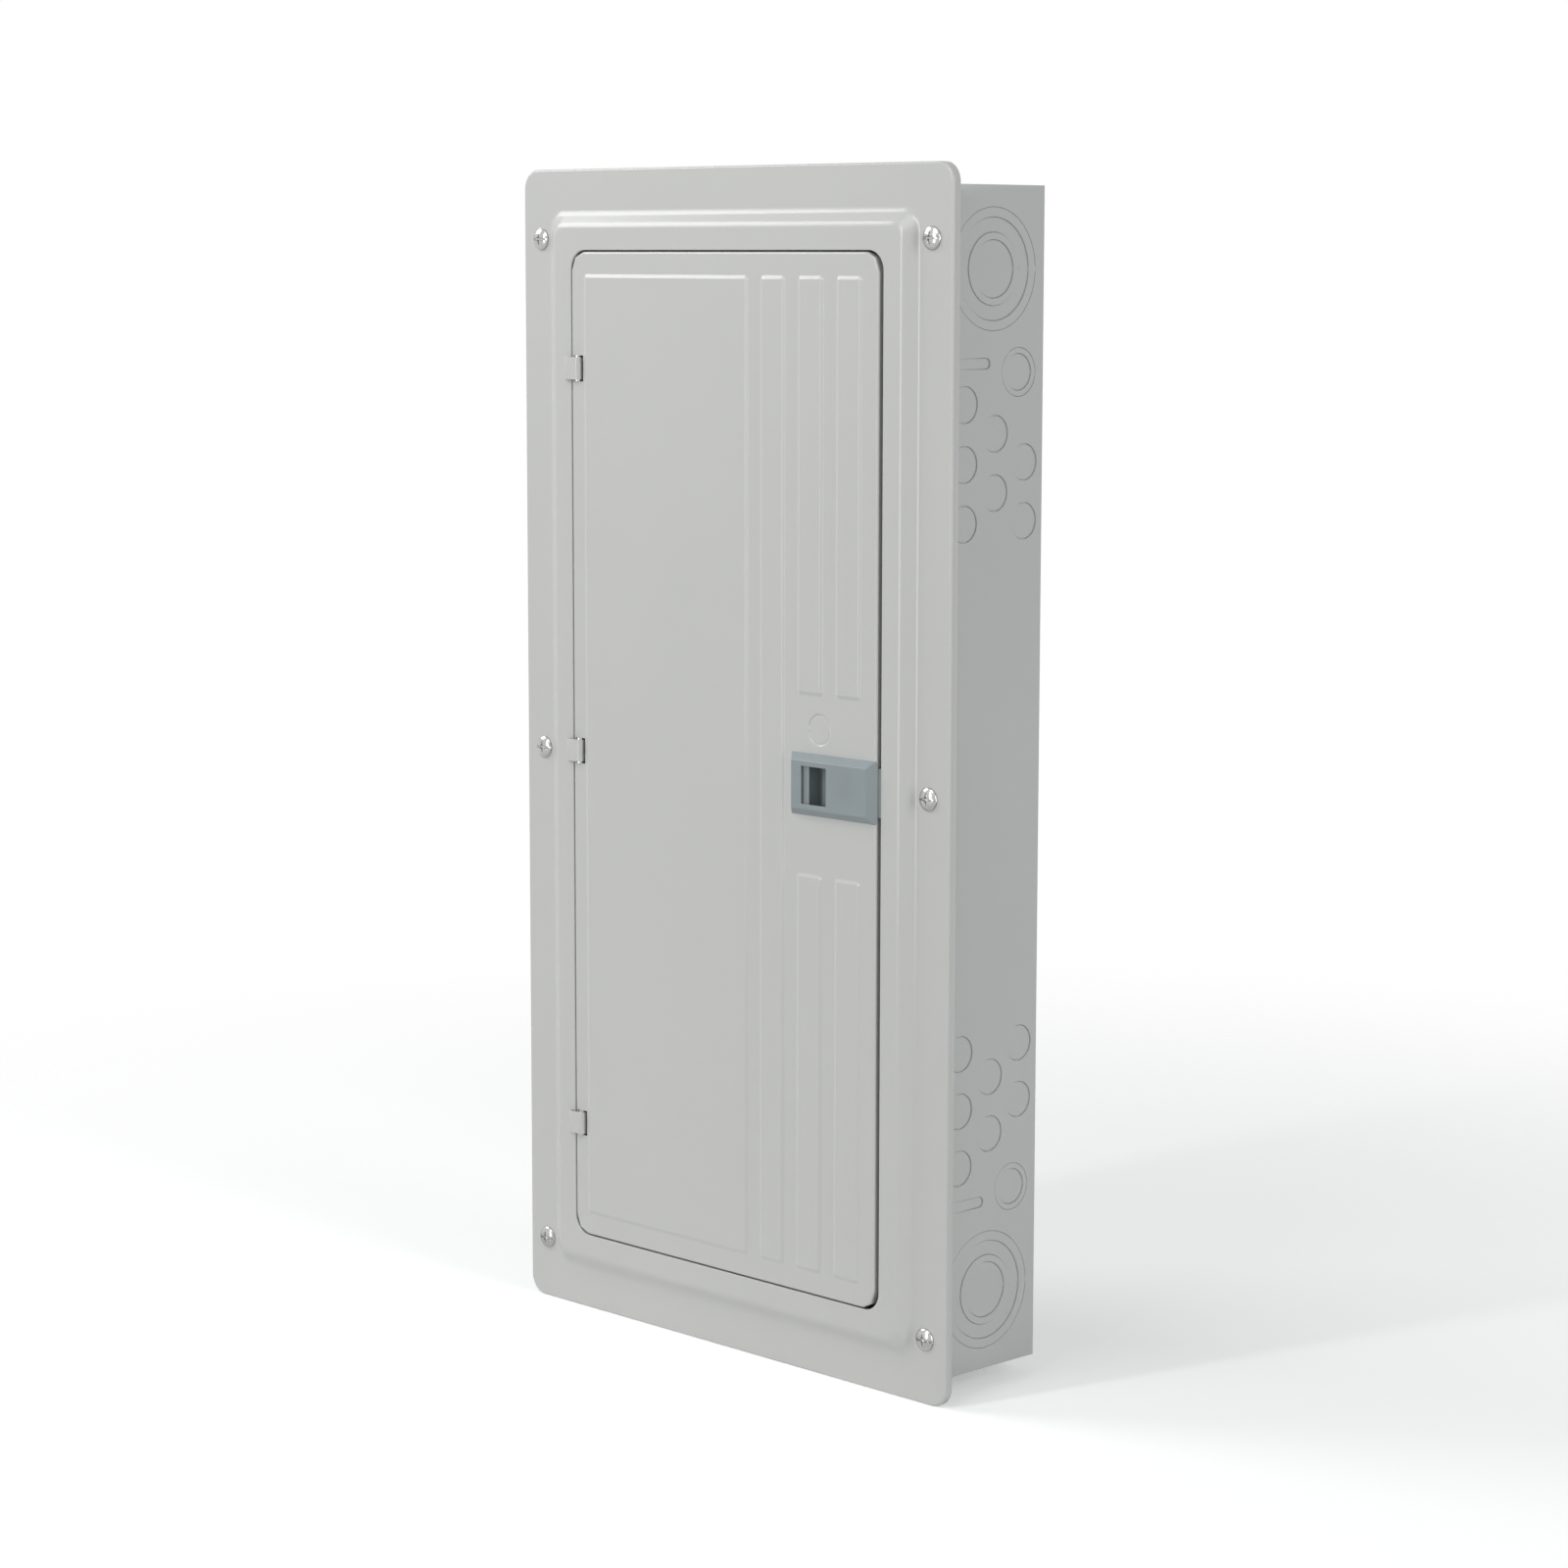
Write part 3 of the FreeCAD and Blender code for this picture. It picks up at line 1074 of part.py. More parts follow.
def make_bus_bar(name, side, first):
    """One phase: a bar with cross arms and two stabs on every second space."""
    body = new_body(name + "_body")
    x0, x1 = sorted((f"({side})*bus_inner", f"({side})*(bus_inner+bus_width)"), key=value)
    low = f"{row_z('rows-0.5')}-bus_below"
    bar = rectangle(body, name + "_bar", "base_front", x0, x1, low, "main_bottom+bus_lap")
    pad(body, bar, "bus_gauge")
    z = row_z(first)
    tip, half = "(stab_x+arm_gauge/2)", "(stab_x-arm_gauge/2)"
    post0, post1 = f"{x0}+riser_in", f"{x1}-riser_in"
    back, front = "arm_level", AT["arm_front"]
    profile = [
        (f"-{tip}", back), (post0, back), (post0, "base_front+bus_gauge/2"),
        (post1, "base_front+bus_gauge/2"), (post1, back), (tip, back), (tip, "stab_front"),
        (half, "stab_front"), (half, front), (f"-{half}", front), (f"-{half}", "stab_front"),
        (f"-{tip}", "stab_front"),
    ]
    corners = [(x, f"-({level})") for x, level in profile]
    arm = outline(body, name + "_arm", "XY_Plane", f"{z}-arm_height/2", corners)
    made = pad(body, arm, "arm_height")
    count = f"floor((rows-{first}+1)/2)"
    repeat(body, [made], bar, f"({count}-1)*2*row_pitch", count)
    bolt = rod(name + "_hole", "bolt_radius+bolt_clear", "front", f"({side})*(bus_inner+bus_width/2)",
               "base_front-1", "bus_bolt_z", "bus_gauge+2")
    keep(cut(name + "_drilled", body, [bolt]), name)


def make_bus_bolts():
    """Two bolts that fasten the bus bars to the main breaker."""
    bolts = []
    for i, side in enumerate((-1, 1)):
        x = f"({side})*(bus_inner+bus_width/2)"
        shank = rod(f"bolt_shank_{i}", "bolt_radius", "front", x, "main_notch_back", "bus_bolt_z",
                    f"{AT['bus_front']}-main_notch_back+1")
        head = rod(f"bolt_head_{i}", "bolt_head_radius", "front", x, AT["bus_front"], "bus_bolt_z",
                   "bolt_head")
        bolts.append(fuse(f"bolt_{i}", [shank, head]))
    keep(gather("bolt_set", bolts), "bus_bolts")


# ---- Main breaker, its handle and its line lugs ----


def make_main_case():
    """Moulded case with a ledge for the lugs, a notch for the bus bars and a slot for the handle."""
    half = "main_width/2"
    nose = "main_nose_width/2"
    solid = fuse("main_solid", [
        block("main_block", f"-{half}", half, AT["pan_front"], "main_shoulder", "main_bottom", "main_top"),
        block("main_ledge_block", f"-{half}", half, AT["pan_front"], "main_ledge_level", "main_bottom",
              "main_ledge"),
        block("main_nose", f"-{nose}", nose, AT["pan_front"], "main_front",
              "main_axis_z-main_nose_height/2", "main_axis_z+main_nose_height/2"),
    ])
    reach = "(bus_inner+bus_width+riser_in)"
    notch = block("main_notch", f"-{reach}", reach, "main_notch_back", "main_notch_front",
                  "main_bottom-1", "main_bottom+bus_lap+riser_in")
    half_x, half_z = "(main_handle_width/2+handle_clear)", "(main_hub+2*handle_clear)"
    slot = block("main_slot", f"-{half_x}", half_x, "main_axis_level-main_hub-handle_clear",
                 "2*main_front", f"main_axis_z-{half_z}", f"main_axis_z+{half_z}")
    span = "(main_handle_width+2*axle_stub+2*axle_clear)"
    axle = rod("main_axle_hole", "axle_radius+axle_clear", "x", f"-{span}/2", "main_axis_level",
               "main_axis_z", span)
    keep(cut("main_case", solid, [notch, slot, axle]), "main_breaker_case")


def make_lever(name, width, hub, reach, root, end, axis):
    """A handle about its own axle, which lies at the origin: hub, tapering lever and axle stubs."""
    body = new_body(name + "_lever")
    plane = "XY_Plane" if axis == "z" else "YZ_Plane"
    half_root, half_end = f"({root})/2", f"({end})/2"
    if axis == "z":
        corners = [(f"-{half_root}", "0"), (half_root, "0"), (half_end, f"-({reach})"),
                   (f"-{half_end}", f"-({reach})")]
    else:
        corners = [("0", f"-{half_root}"), (f"-({reach})", f"-{half_end}"), (f"-({reach})", half_end),
                   ("0", half_root)]
    pad(body, outline(body, name + "_lever_sketch", plane, "0", corners), width, both_ways=True)
    start = f"-({width})/2"
    places = ("0", "0", start) if axis == "z" else (start, "0", "0")
    round_hub = rod(name + "_hub", hub, axis, *places, width)
    start = f"-({width})/2-axle_stub"
    places = ("0", "0", start) if axis == "z" else (start, "0", "0")
    axle = rod(name + "_axle", "axle_radius", axis, *places, f"({width})+2*axle_stub")
    return fuse(name + "_handle", [body, round_hub, axle])


def make_main_handle():
    lever = make_lever("main", "main_handle_width", "main_hub", "main_reach", "main_root", "main_end", "x")
    lever.Placement = Placement(Vector(), Rotation(Vector(-1, 0, 0), sheet.main_tilt))
    bind(lever, "Placement.Base.y", "-main_axis_level")
    bind(lever, "Placement.Base.z", "main_axis_z")
    bind(lever, "Placement.Rotation.Angle", "main_tilt")
    keep(lever, "main_breaker_handle")


def make_lug(name, x, back, low, size, bore, screw):
    """A clamping lug: a block with a wire hole and a screw hole, and its set screw apart."""
    half = f"({size})/2"
    body = block(f"{name}_block", f"({x})-{half}", f"({x})+{half}", back, f"({back})+({size})", low,
                 f"({low})+({size})")
    level = f"(({back})+{half})"
    wire = rod(f"{name}_wire", bore, "z", x, level, f"({low})-1", f"({size})+2")
    middle = f"(({low})+{half})"
    thread = rod(f"{name}_thread", screw, "front", x, level, middle, size)
    keep(cut(f"{name}_cut", body, [wire, thread]), name)
    seat = f"({level}+({bore})+lug_seat)"
    driver = rod(f"{name}_driver", f"({screw})*0.5", "front", x, f"{seat}+({half})*0.5", middle, size)
    blank = rod(f"{name}_set", f"({screw})-axle_clear", "front", x, seat, middle,
                f"({back})+({size})+lug_screw_proud-{seat}")
    return cut(f"{name}_set_screw", blank, [driver])


def make_lugs():
    screws = [
        make_lug(f"line_lug_{letter}", f"({side})*lug_x", "main_ledge_level", "main_top+lug_gap", "lug_size",
                 "lug_bore", "lug_screw")
        for side, letter in ((-1, "a"), (1, "b"))
    ]
    front = "(neutral_back+neutral_size)"
    screws.append(make_lug("neutral_lug", "neutral_x", front, "neutral_top-neutral_lug_size",
                           "neutral_lug_size", "neutral_lug_bore", "neutral_lug_screw"))
    keep(gather("lug_screw_set", screws), "lug_screws")


# ---- Branch breakers ----


def branch_places():
    """Each breaker: its side, its first space and how many spaces it takes."""
    return [(side, first, poles) for side in (1, -1) for first, poles in ((0, 2), (2, 1), (3, 1), (4, 1))]


def branch_name(side, first):
    return f"{'right' if side > 0 else 'left'}_{first + 1}"


def make_branch_case(side, first, poles):
    """Moulded case: hooks on the rail outside, plugs on the stabs inside, a nose for the handle."""
    name = "branch_breaker_" + branch_name(side, first)
    width = f"({poles}*row_pitch-case_gap)"
    low = f"({row_z(first + (poles - 1) / 2)}-{width}/2)"
    foot, under = f"({AT['arm_front']}+case_foot_lift)", "(rail_level+rail_clear)"
    seat, ledge = "(lug_screw_level-recess_below)", "(lug_screw_level+recess_above)"
    profile = [
        ("case_inner", foot), ("stab_x+jaw_half+jaw_wall", foot), ("stab_x+jaw_half+jaw_wall", under),
        ("case_outer", under), ("case_outer", seat), ("case_outer-recess_depth", seat),
        ("case_outer-recess_depth", ledge),
        ("case_outer", ledge), ("case_outer", "case_shoulder"), ("nose_outer+nose_fillet", "case_shoulder"),
        ("nose_outer-nose_slope", "case_front"), ("nose_inner+nose_slope", "case_front"),
        ("nose_inner-nose_fillet", "case_shoulder"), ("case_inner", "case_shoulder"),
    ]
    body = new_body(name + "_body")
    corners = [(f"({side})*({x})", f"-({level})") for x, level in profile]
    pad(body, outline(body, name + "_profile", "XY_Plane", low, corners), width)
    ends = sorted((f"({side})*(stab_x-jaw_half)", f"({side})*(stab_x+jaw_half)"), key=value)
    jaw = block(name + "_jaw", *ends, f"{foot}-1", "stab_front+2", f"{low}-1", f"{low}+{width}+1")
    handle = "handle_width" if poles == 1 else "handle_wide"
    middle = f"({low}+{width}/2)"
    half_x, half_z = "(handle_hub+handle_clear)", f"({handle}/2+handle_clear)"
    x = f"(({side})*handle_x)"
    slot = block(name + "_slot", f"{x}-{half_x}", f"{x}+{half_x}", "handle_level-handle_hub-handle_clear",
                 "2*case_front", f"{middle}-{half_z}", f"{middle}+{half_z}")
    span = f"({handle}+2*axle_stub+2*axle_clear)"
    axle = rod(name + "_axle_hole", "axle_radius+axle_clear", "z", x, "handle_level",
               f"{middle}-{span}/2", span)
    keep(cut(name + "_cut", body, [jaw, slot, axle]), name)


def make_branch_handle(side, first, poles):
    """Handle that points towards the middle of the panel when it is on."""
    name = "branch_handle_" + branch_name(side, first)
    width = "handle_width" if poles == 1 else "handle_wide"
    lever = make_lever(name, width, "handle_hub", "handle_reach", "handle_root", "handle_end", "z")
    lever.Placement = Placement(Vector(), Rotation(Vector(0, 0, -side), sheet.handle_tilt))
    bind(lever, "Placement.Base.x", f"({side})*handle_x")
    bind(lever, "Placement.Base.y", "-handle_level")
    bind(lever, "Placement.Base.z", row_z(first + (poles - 1) / 2))
    bind(lever, "Placement.Rotation.Angle", "handle_tilt")
    keep(lever, name)


def make_branch_screws():
    """Terminal screws, one to each pole, in the cases' outer recesses."""
    screws = []
    for side, first, poles in branch_places():
        for pole in range(poles):
            name = f"terminal_{branch_name(side, first + pole)}"
            floor = "(case_outer-recess_depth)"
            start = floor if side > 0 else f"(-{floor}-terminal_screw_height)"
            head = rod(name, "lug_screw_radius", "x", start, "lug_screw_level", row_z(first + pole),
                       "terminal_screw_height")
            bottom = f"{floor}+terminal_screw_height-driver_depth"
            x0, x1 = sorted((f"({side})*({bottom})", f"({side})*case_outer"), key=value)
            z = row_z(first + pole)
            slot = block(name + "_slot", x0, x1, "lug_screw_level-2*lug_screw_radius",
                         "lug_screw_level+2*lug_screw_radius", f"{z}-driver_width/2", f"{z}+driver_width/2")
            screws.append(cut(name + "_cut", head, [slot]))
    keep(gather("terminal_set", screws), "branch_terminal_screws")


# ---- Neutral and ground bars ----


def bond_z():
    return "(neutral_bottom+strap_width/2)"


def terminal_z():
    """Height of the highest wire hole of a neutral bar."""
    return "(neutral_bottom+strap_width+terminal_inset+(terminals-1)*terminal_pitch)"


def make_neutral_bar(name, side):
    """Square bar with wire holes across it and a screw over each."""
    body = new_body(name + "_body")
    x = f"(({side})*neutral_x)"
    x0, x1 = f"{x}-neutral_size/2", f"{x}+neutral_size/2"
    bar = rectangle(body, name + "_bar", "neutral_back", x0, x1, "neutral_bottom", "neutral_top")
    pad(body, bar, "neutral_size")
    middle = "(neutral_back+neutral_size/2)"
    screw = disc(body, name + "_screw", middle, x, terminal_z(), "bar_screw")
    tapped = pocket(body, screw, "neutral_size")
    wire = body.newObject("Sketcher::SketchObject", name + "_wire")
    attach(body, wire, "YZ_Plane", x)
    wire.addGeometry(Part.Circle(Vector(-value(middle), value(terminal_z()), 0), Vector(0, 0, 1), 1))
    pin_point(wire, 0, 3, f"-{middle}", terminal_z())
    made = wire.addConstraint(Sketcher.Constraint("Radius", 0, sheet.wire_hole))
    bind(wire, f"Constraints[{made}]", "wire_hole")
    drilled = pocket(body, wire, "2*neutral_size", both_ways=True)
    repeat(body, [tapped, drilled], bar, "(terminals-1)*terminal_pitch", "terminals")
    keep(body, name)


def screw_row(name, centres, level, span, count, axis):
    """A row of slotted terminal screws as one body of separate solids."""
    body = new_body(name)
    made = []
    for i, (x, z) in enumerate(centres):
        sketch = disc(body, f"{name}_{i}", level, x, z, "bar_screw-bar_screw_clear")
        made.append(pad(body, sketch, "neutral_size/2+bar_screw_lift"))
        slot = rectangle(body, f"{name}_slot_{i}", f"{level}+neutral_size/2", f"{x}-2*bar_screw",
                         f"{x}+2*bar_screw", f"{z}-driver_width/2",
                         f"{z}+driver_width/2")
        made.append(pocket(body, slot, "2"))
    row = body.newObject("PartDesign::LinearPattern", name + "_row")
    row.Originals = made
    row.Direction = (sketch, [axis])
    row.Reversed = True
    bind(row, "Length", span)
    bind(row, "Occurrences", count)
    body.Tip = row
    doc.recompute()
    return body


def make_neutral():
    """Bars, their strap, the standoffs under them and their screws."""
    make_neutral_bar("neutral_bar_left", -1)
    make_neutral_bar("neutral_bar_right", 1)
    reach = "(neutral_x+neutral_size/2)"
    strap = block("strap_blank", f"-{reach}", reach, "neutral_back-strap_thick", "neutral_back",
                  "neutral_bottom", "neutral_bottom+strap_width")
    hole = rod("strap_hole", "bond_radius+bar_screw_clear", "front", "bond_x", "pan_level", bond_z(),
               "neutral_back")
    keep(cut("strap_cut", strap, [hole]), "neutral_strap")
    posts = []
    for i, side in enumerate((-1, 1)):
        for j, z in enumerate(("neutral_bottom+strap_width", "(neutral_bottom+neutral_top-post_length)/2",
                               "neutral_top-post_length")):
            inner = f"({side})*(neutral_x-neutral_size/2-post_out)"
            ends = sorted((inner, f"({side})*(neutral_x+neutral_size/2)"), key=value)
            posts.append(block(f"post_{i}{j}", *ends, AT["pan_front"], "neutral_back", z, f"{z}+post_length"))
    keep(gather("post_set", posts), "neutral_standoffs")
    centres = [(f"({side})*neutral_x", terminal_z()) for side in (-1, 1)]
    level = "(neutral_back+neutral_size/2+bar_screw_lift)"
    span = "(terminals-1)*terminal_pitch"
    keep(screw_row("neutral_screw_row", centres, level, span, "terminals", "V_Axis"), "neutral_screws")
    shank = rod("bond_shank", "bond_radius", "front", "bond_x", "pan_level-2", bond_z(),
                "neutral_back-pan_level+2.5")
    head = rod("bond_head", "bond_radius*2", "front", "bond_x", "neutral_back", bond_z(), "bond_head_height",
               "bond_radius*1.7")
    keep(fuse("bond_screw", [shank, head]), "bonding_screw")


def make_ground():
    """Ground bar across the bottom of the box, on two standoffs."""
    half = "ground_width/2"
    body = new_body("ground_bar_body")
    bar = rectangle(body, "ground_bar_sketch", "ground_level", f"-{half}", half, "ground_z",
                    "ground_z+neutral_size")
    pad(body, bar, "neutral_size")
    holes = []
    first = "(ground_terminals-1)*terminal_pitch/2"
    for i in range(int(sheet.ground_terminals)):
        x = f"({first}-{i}*terminal_pitch)"
        middle = "(ground_level+neutral_size/2)"
        holes.append(rod(f"ground_wire_{i}", "wire_hole", "z", x, middle, "ground_z-1", "neutral_size+2"))
        holes.append(rod(f"ground_tapped_{i}", "bar_screw", "front", x, middle, "ground_z+neutral_size/2",
                         "neutral_size"))
    keep(cut("ground_drilled", body, holes), "ground_bar")
    posts = [
        rod(f"ground_post_{i}", "neutral_size/3", "front", f"({side})*({half}-neutral_size/2)", "box_gauge",
            "ground_z+neutral_size/2", "ground_level-box_gauge")
        for i, side in enumerate((-1, 1))
    ]
    keep(gather("ground_post_set", posts), "ground_standoffs")
    level = "(ground_level+neutral_size/2+bar_screw_lift)"
    row = screw_row("ground_screw_row", [(first, "ground_z+neutral_size/2")], level,
                    "(ground_terminals-1)*terminal_pitch", "ground_terminals", "H_Axis")
    keep(row, "ground_screws")


# ---- Build, check and write ----

make_wrapper()
make_end_wall("top_end_wall", 1)
make_end_wall("bottom_end_wall", -1)
make_trim()
make_trim_screws()
make_door()
make_directory_card()
make_hinges()
make_latch_bezel()
make_latch_back_plate()
make_latch_slider()
make_latch_springs()
make_deadfront()
make_pan()
make_pan_screws()
make_rail("left_breaker_rail", -1)
make_rail("right_breaker_rail", 1)
make_bus_insulator()
make_bus_bar("bus_bar_a", -1, 0)
make_bus_bar("bus_bar_b", 1, 1)
make_main_case()
make_main_handle()
make_lugs()
make_bus_bolts()
for breaker in branch_places():
    make_branch_case(*breaker)
    make_branch_handle(*breaker)
make_branch_screws()
make_neutral()
make_ground()
doc.recompute()

for thing in doc.Objects:
    if "Invalid" in thing.State or "Error" in thing.State:
        raise RuntimeError(f"{thing.Name} failed: {thing.State}")
for label, thing in nodes.items():
    if thing.Shape.isNull() or not thing.Shape.isValid():
        raise RuntimeError(f"{label} has no valid shape")

os.makedirs("parts", exist_ok=True)
for label, thing in nodes.items():
    thing.Shape.exportStep(f"parts/{label}.step")
print(f"{len(nodes)} sub-parts, {sum(len(thing.Shape.Solids) for thing in nodes.values())} solids")
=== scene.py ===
import math

import bmesh
import bpy
import numpy as np
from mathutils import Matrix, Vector
from mathutils.geometry import delaunay_2d_cdt


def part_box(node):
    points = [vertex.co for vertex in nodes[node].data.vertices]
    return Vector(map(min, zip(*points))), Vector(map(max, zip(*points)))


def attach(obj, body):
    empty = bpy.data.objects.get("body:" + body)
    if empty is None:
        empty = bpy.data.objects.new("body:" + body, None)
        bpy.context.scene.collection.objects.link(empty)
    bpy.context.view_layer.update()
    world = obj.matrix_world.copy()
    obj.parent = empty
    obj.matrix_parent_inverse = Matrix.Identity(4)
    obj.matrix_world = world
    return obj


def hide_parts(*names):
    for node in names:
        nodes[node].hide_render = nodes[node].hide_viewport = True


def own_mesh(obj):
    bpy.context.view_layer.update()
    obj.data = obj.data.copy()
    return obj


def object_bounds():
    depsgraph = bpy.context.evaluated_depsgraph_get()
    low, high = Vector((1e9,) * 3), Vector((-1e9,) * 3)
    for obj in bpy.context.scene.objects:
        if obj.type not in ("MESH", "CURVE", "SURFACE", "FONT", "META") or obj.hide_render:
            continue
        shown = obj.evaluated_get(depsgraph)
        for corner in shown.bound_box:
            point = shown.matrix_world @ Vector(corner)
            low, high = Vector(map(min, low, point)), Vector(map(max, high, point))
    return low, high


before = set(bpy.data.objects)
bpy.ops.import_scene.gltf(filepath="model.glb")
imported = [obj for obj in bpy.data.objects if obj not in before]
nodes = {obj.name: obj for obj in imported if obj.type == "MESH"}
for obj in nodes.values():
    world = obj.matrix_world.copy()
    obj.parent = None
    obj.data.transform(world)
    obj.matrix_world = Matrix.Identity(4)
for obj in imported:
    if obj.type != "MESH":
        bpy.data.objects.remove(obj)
cad_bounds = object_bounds()
mm = 0.001

# ---------------------------------------------------------------------------------------------
# Box wrapper: back and two sides folded from one sheet of enamelled steel. Conduit knockouts are
# half-sheared rings, each a little above or below its neighbour, with ties left uncut.
# ---------------------------------------------------------------------------------------------
box_low, box_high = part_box("box_wrapper")
half_width = box_high[0]
half_height = box_high[2]
box_depth = -box_low[1]
box_gauge = 1.2 * mm
fold_radius = 1.6 * mm
screw_rows = [row * 340.5 * mm - 2.0 * mm for row in (-1, 0, 1)]
RING_STEP = 0.26 * mm
RING_GUARD = 0.8 * mm
SHEAR_DEPTH = 0.55 * mm
TIE_RISE = 0.35 * mm
TIE_HALF = 1.0 * mm


class Finish:
    """A procedural material on Object coordinates: noises drive its shades, gloss and skin."""

    def __init__(self, name):
        self.made = bpy.data.materials.new(name)
        self.made.use_nodes = True
        self.tree = self.made.node_tree
        self.shader = self.tree.nodes["Principled BSDF"]
        self.place = self.tree.nodes.new("ShaderNodeTexCoord")

    def node(self, kind):
        return self.tree.nodes.new("ShaderNode" + kind)

    def link(self, start, end):
        self.tree.links.new(start, end)

    def noise(self, scale, detail, rough=0.5, stretch=None):
        """Fractal noise; stretch gives a scale of its own to each axis."""
        found = self.node("TexNoise")
        found.inputs["Scale"].default_value = scale
        found.inputs["Detail"].default_value = detail
        found.inputs["Roughness"].default_value = rough
        source = self.place.outputs["Object"]
        if stretch:
            mapping = self.node("Mapping")
            mapping.inputs["Scale"].default_value = stretch
            self.link(source, mapping.inputs["Vector"])
            source = mapping.outputs["Vector"]
        self.link(source, found.inputs["Vector"])
        return found.outputs["Fac"]

    def shades(self, source, dark, light, ends=(0.0, 1.0)):
        """A ramp from a dark to a light shade."""
        ramp = self.node("ValToRGB")
        for stop, position, colour in zip(ramp.color_ramp.elements, ends, (dark, light)):
            stop.position = position
            stop.color = (*colour, 1)
        self.link(source, ramp.inputs["Fac"])
        return ramp.outputs["Color"]

    def mottle(self, source, colour, darker, lighter, ends=(0.0, 1.0)):
        """Two near shades of one colour, as the base colour."""
        dark = [c * (1 - darker) for c in colour]
        light = [min(1, c * (1 + lighter)) for c in colour]
        self.link(self.shades(source, dark, light, ends), self.shader.inputs["Base Color"])

    def gloss(self, source, low, high):
        """Roughness that changes slowly between two values."""
        found = self.node("MapRange")
        found.inputs["To Min"].default_value = low
        found.inputs["To Max"].default_value = high
        self.link(source, found.inputs["Value"])
        self.link(found.outputs["Result"], self.shader.inputs["Roughness"])

    def skin(self, source, strength, depth):
        """A fine relief."""
        bump = self.node("Bump")
        bump.inputs["Strength"].default_value = strength
        bump.inputs["Distance"].default_value = depth
        self.link(source, bump.inputs["Height"])
        self.link(bump.outputs["Normal"], self.shader.inputs["Normal"])


def enamel(name, colour, roughness, mottle, peel):
    """Baked enamel: a faint mottle of two near shades, orange peel and a slowly changing gloss."""
    paint = Finish(name)
    paint.mottle(paint.noise(9, 4, 0.6), colour, mottle, mottle, (0.32, 0.68))
    paint.gloss(paint.noise(14, 2, 0.4), roughness - 0.012, roughness + 0.018)
    paint.skin(paint.noise(620, 3, 0.55), peel, 0.4 * mm)
    return paint.made


BOX_ENAMEL = enamel("box_enamel", (0.505, 0.520, 0.508), 0.36, 0.012, 0.03)


def piece(name, points, faces, body, slot, material, crease=35):
    """A mesh piece from arrays: it rides on a body and takes the given material; its slot argument
    is not used.
    """
    mesh = bpy.data.meshes.new(name)
    mesh.from_pydata(np.asarray(points).tolist(), [], [list(f) for f in faces])
    mesh.validate()
    made = bpy.data.objects.new(name, mesh)
    bpy.context.scene.collection.objects.link(made)
    mesh.materials.append(material)
    mesh.shade_smooth()
    mesh.set_sharp_from_angle(angle=math.radians(crease))
    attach(made, body)
    return made


def flatten(made):
    """Lets the largest faces set the normals, so that flat sheet shades flat up to its bends."""
    flat = made.modifiers.new("flat_faces", "WEIGHTED_NORMAL")
    flat.weight = 100
    flat.keep_sharp = True


def thicken(made, gauge):
    """Gives a sheet its gauge, behind the surface that was drawn."""
    solid = made.modifiers.new("gauge", "SOLIDIFY")
    solid.thickness = gauge
    solid.offset = -1
    solid.use_even_offset = True
    solid.use_quality_normals = True
    flatten(made)


def at_level(flat, level):
    """Points of a front view, placed at a level in front of the back face."""
    return np.column_stack((flat[:, 0], np.full(len(flat), -level), flat[:, 1]))


def circle(centre, radius, count):
    """Evenly spaced points on a circle."""
    turn = np.arange(count) * 2 * math.pi / count
    return np.column_stack((centre[0] + radius * np.cos(turn), centre[1] + radius * np.sin(turn)))


def stadium(centre, half_length, radius, count=10):
    """A slot with round ends, long side along the first axis."""
    turn = np.linspace(-math.pi / 2, math.pi / 2, count)
    end = (centre[0] + half_length, centre[1])
    right = np.column_stack((end[0] + radius * np.cos(turn), end[1] + radius * np.sin(turn)))
    left = 2 * np.asarray(centre) - right
    return np.vstack((right, left))


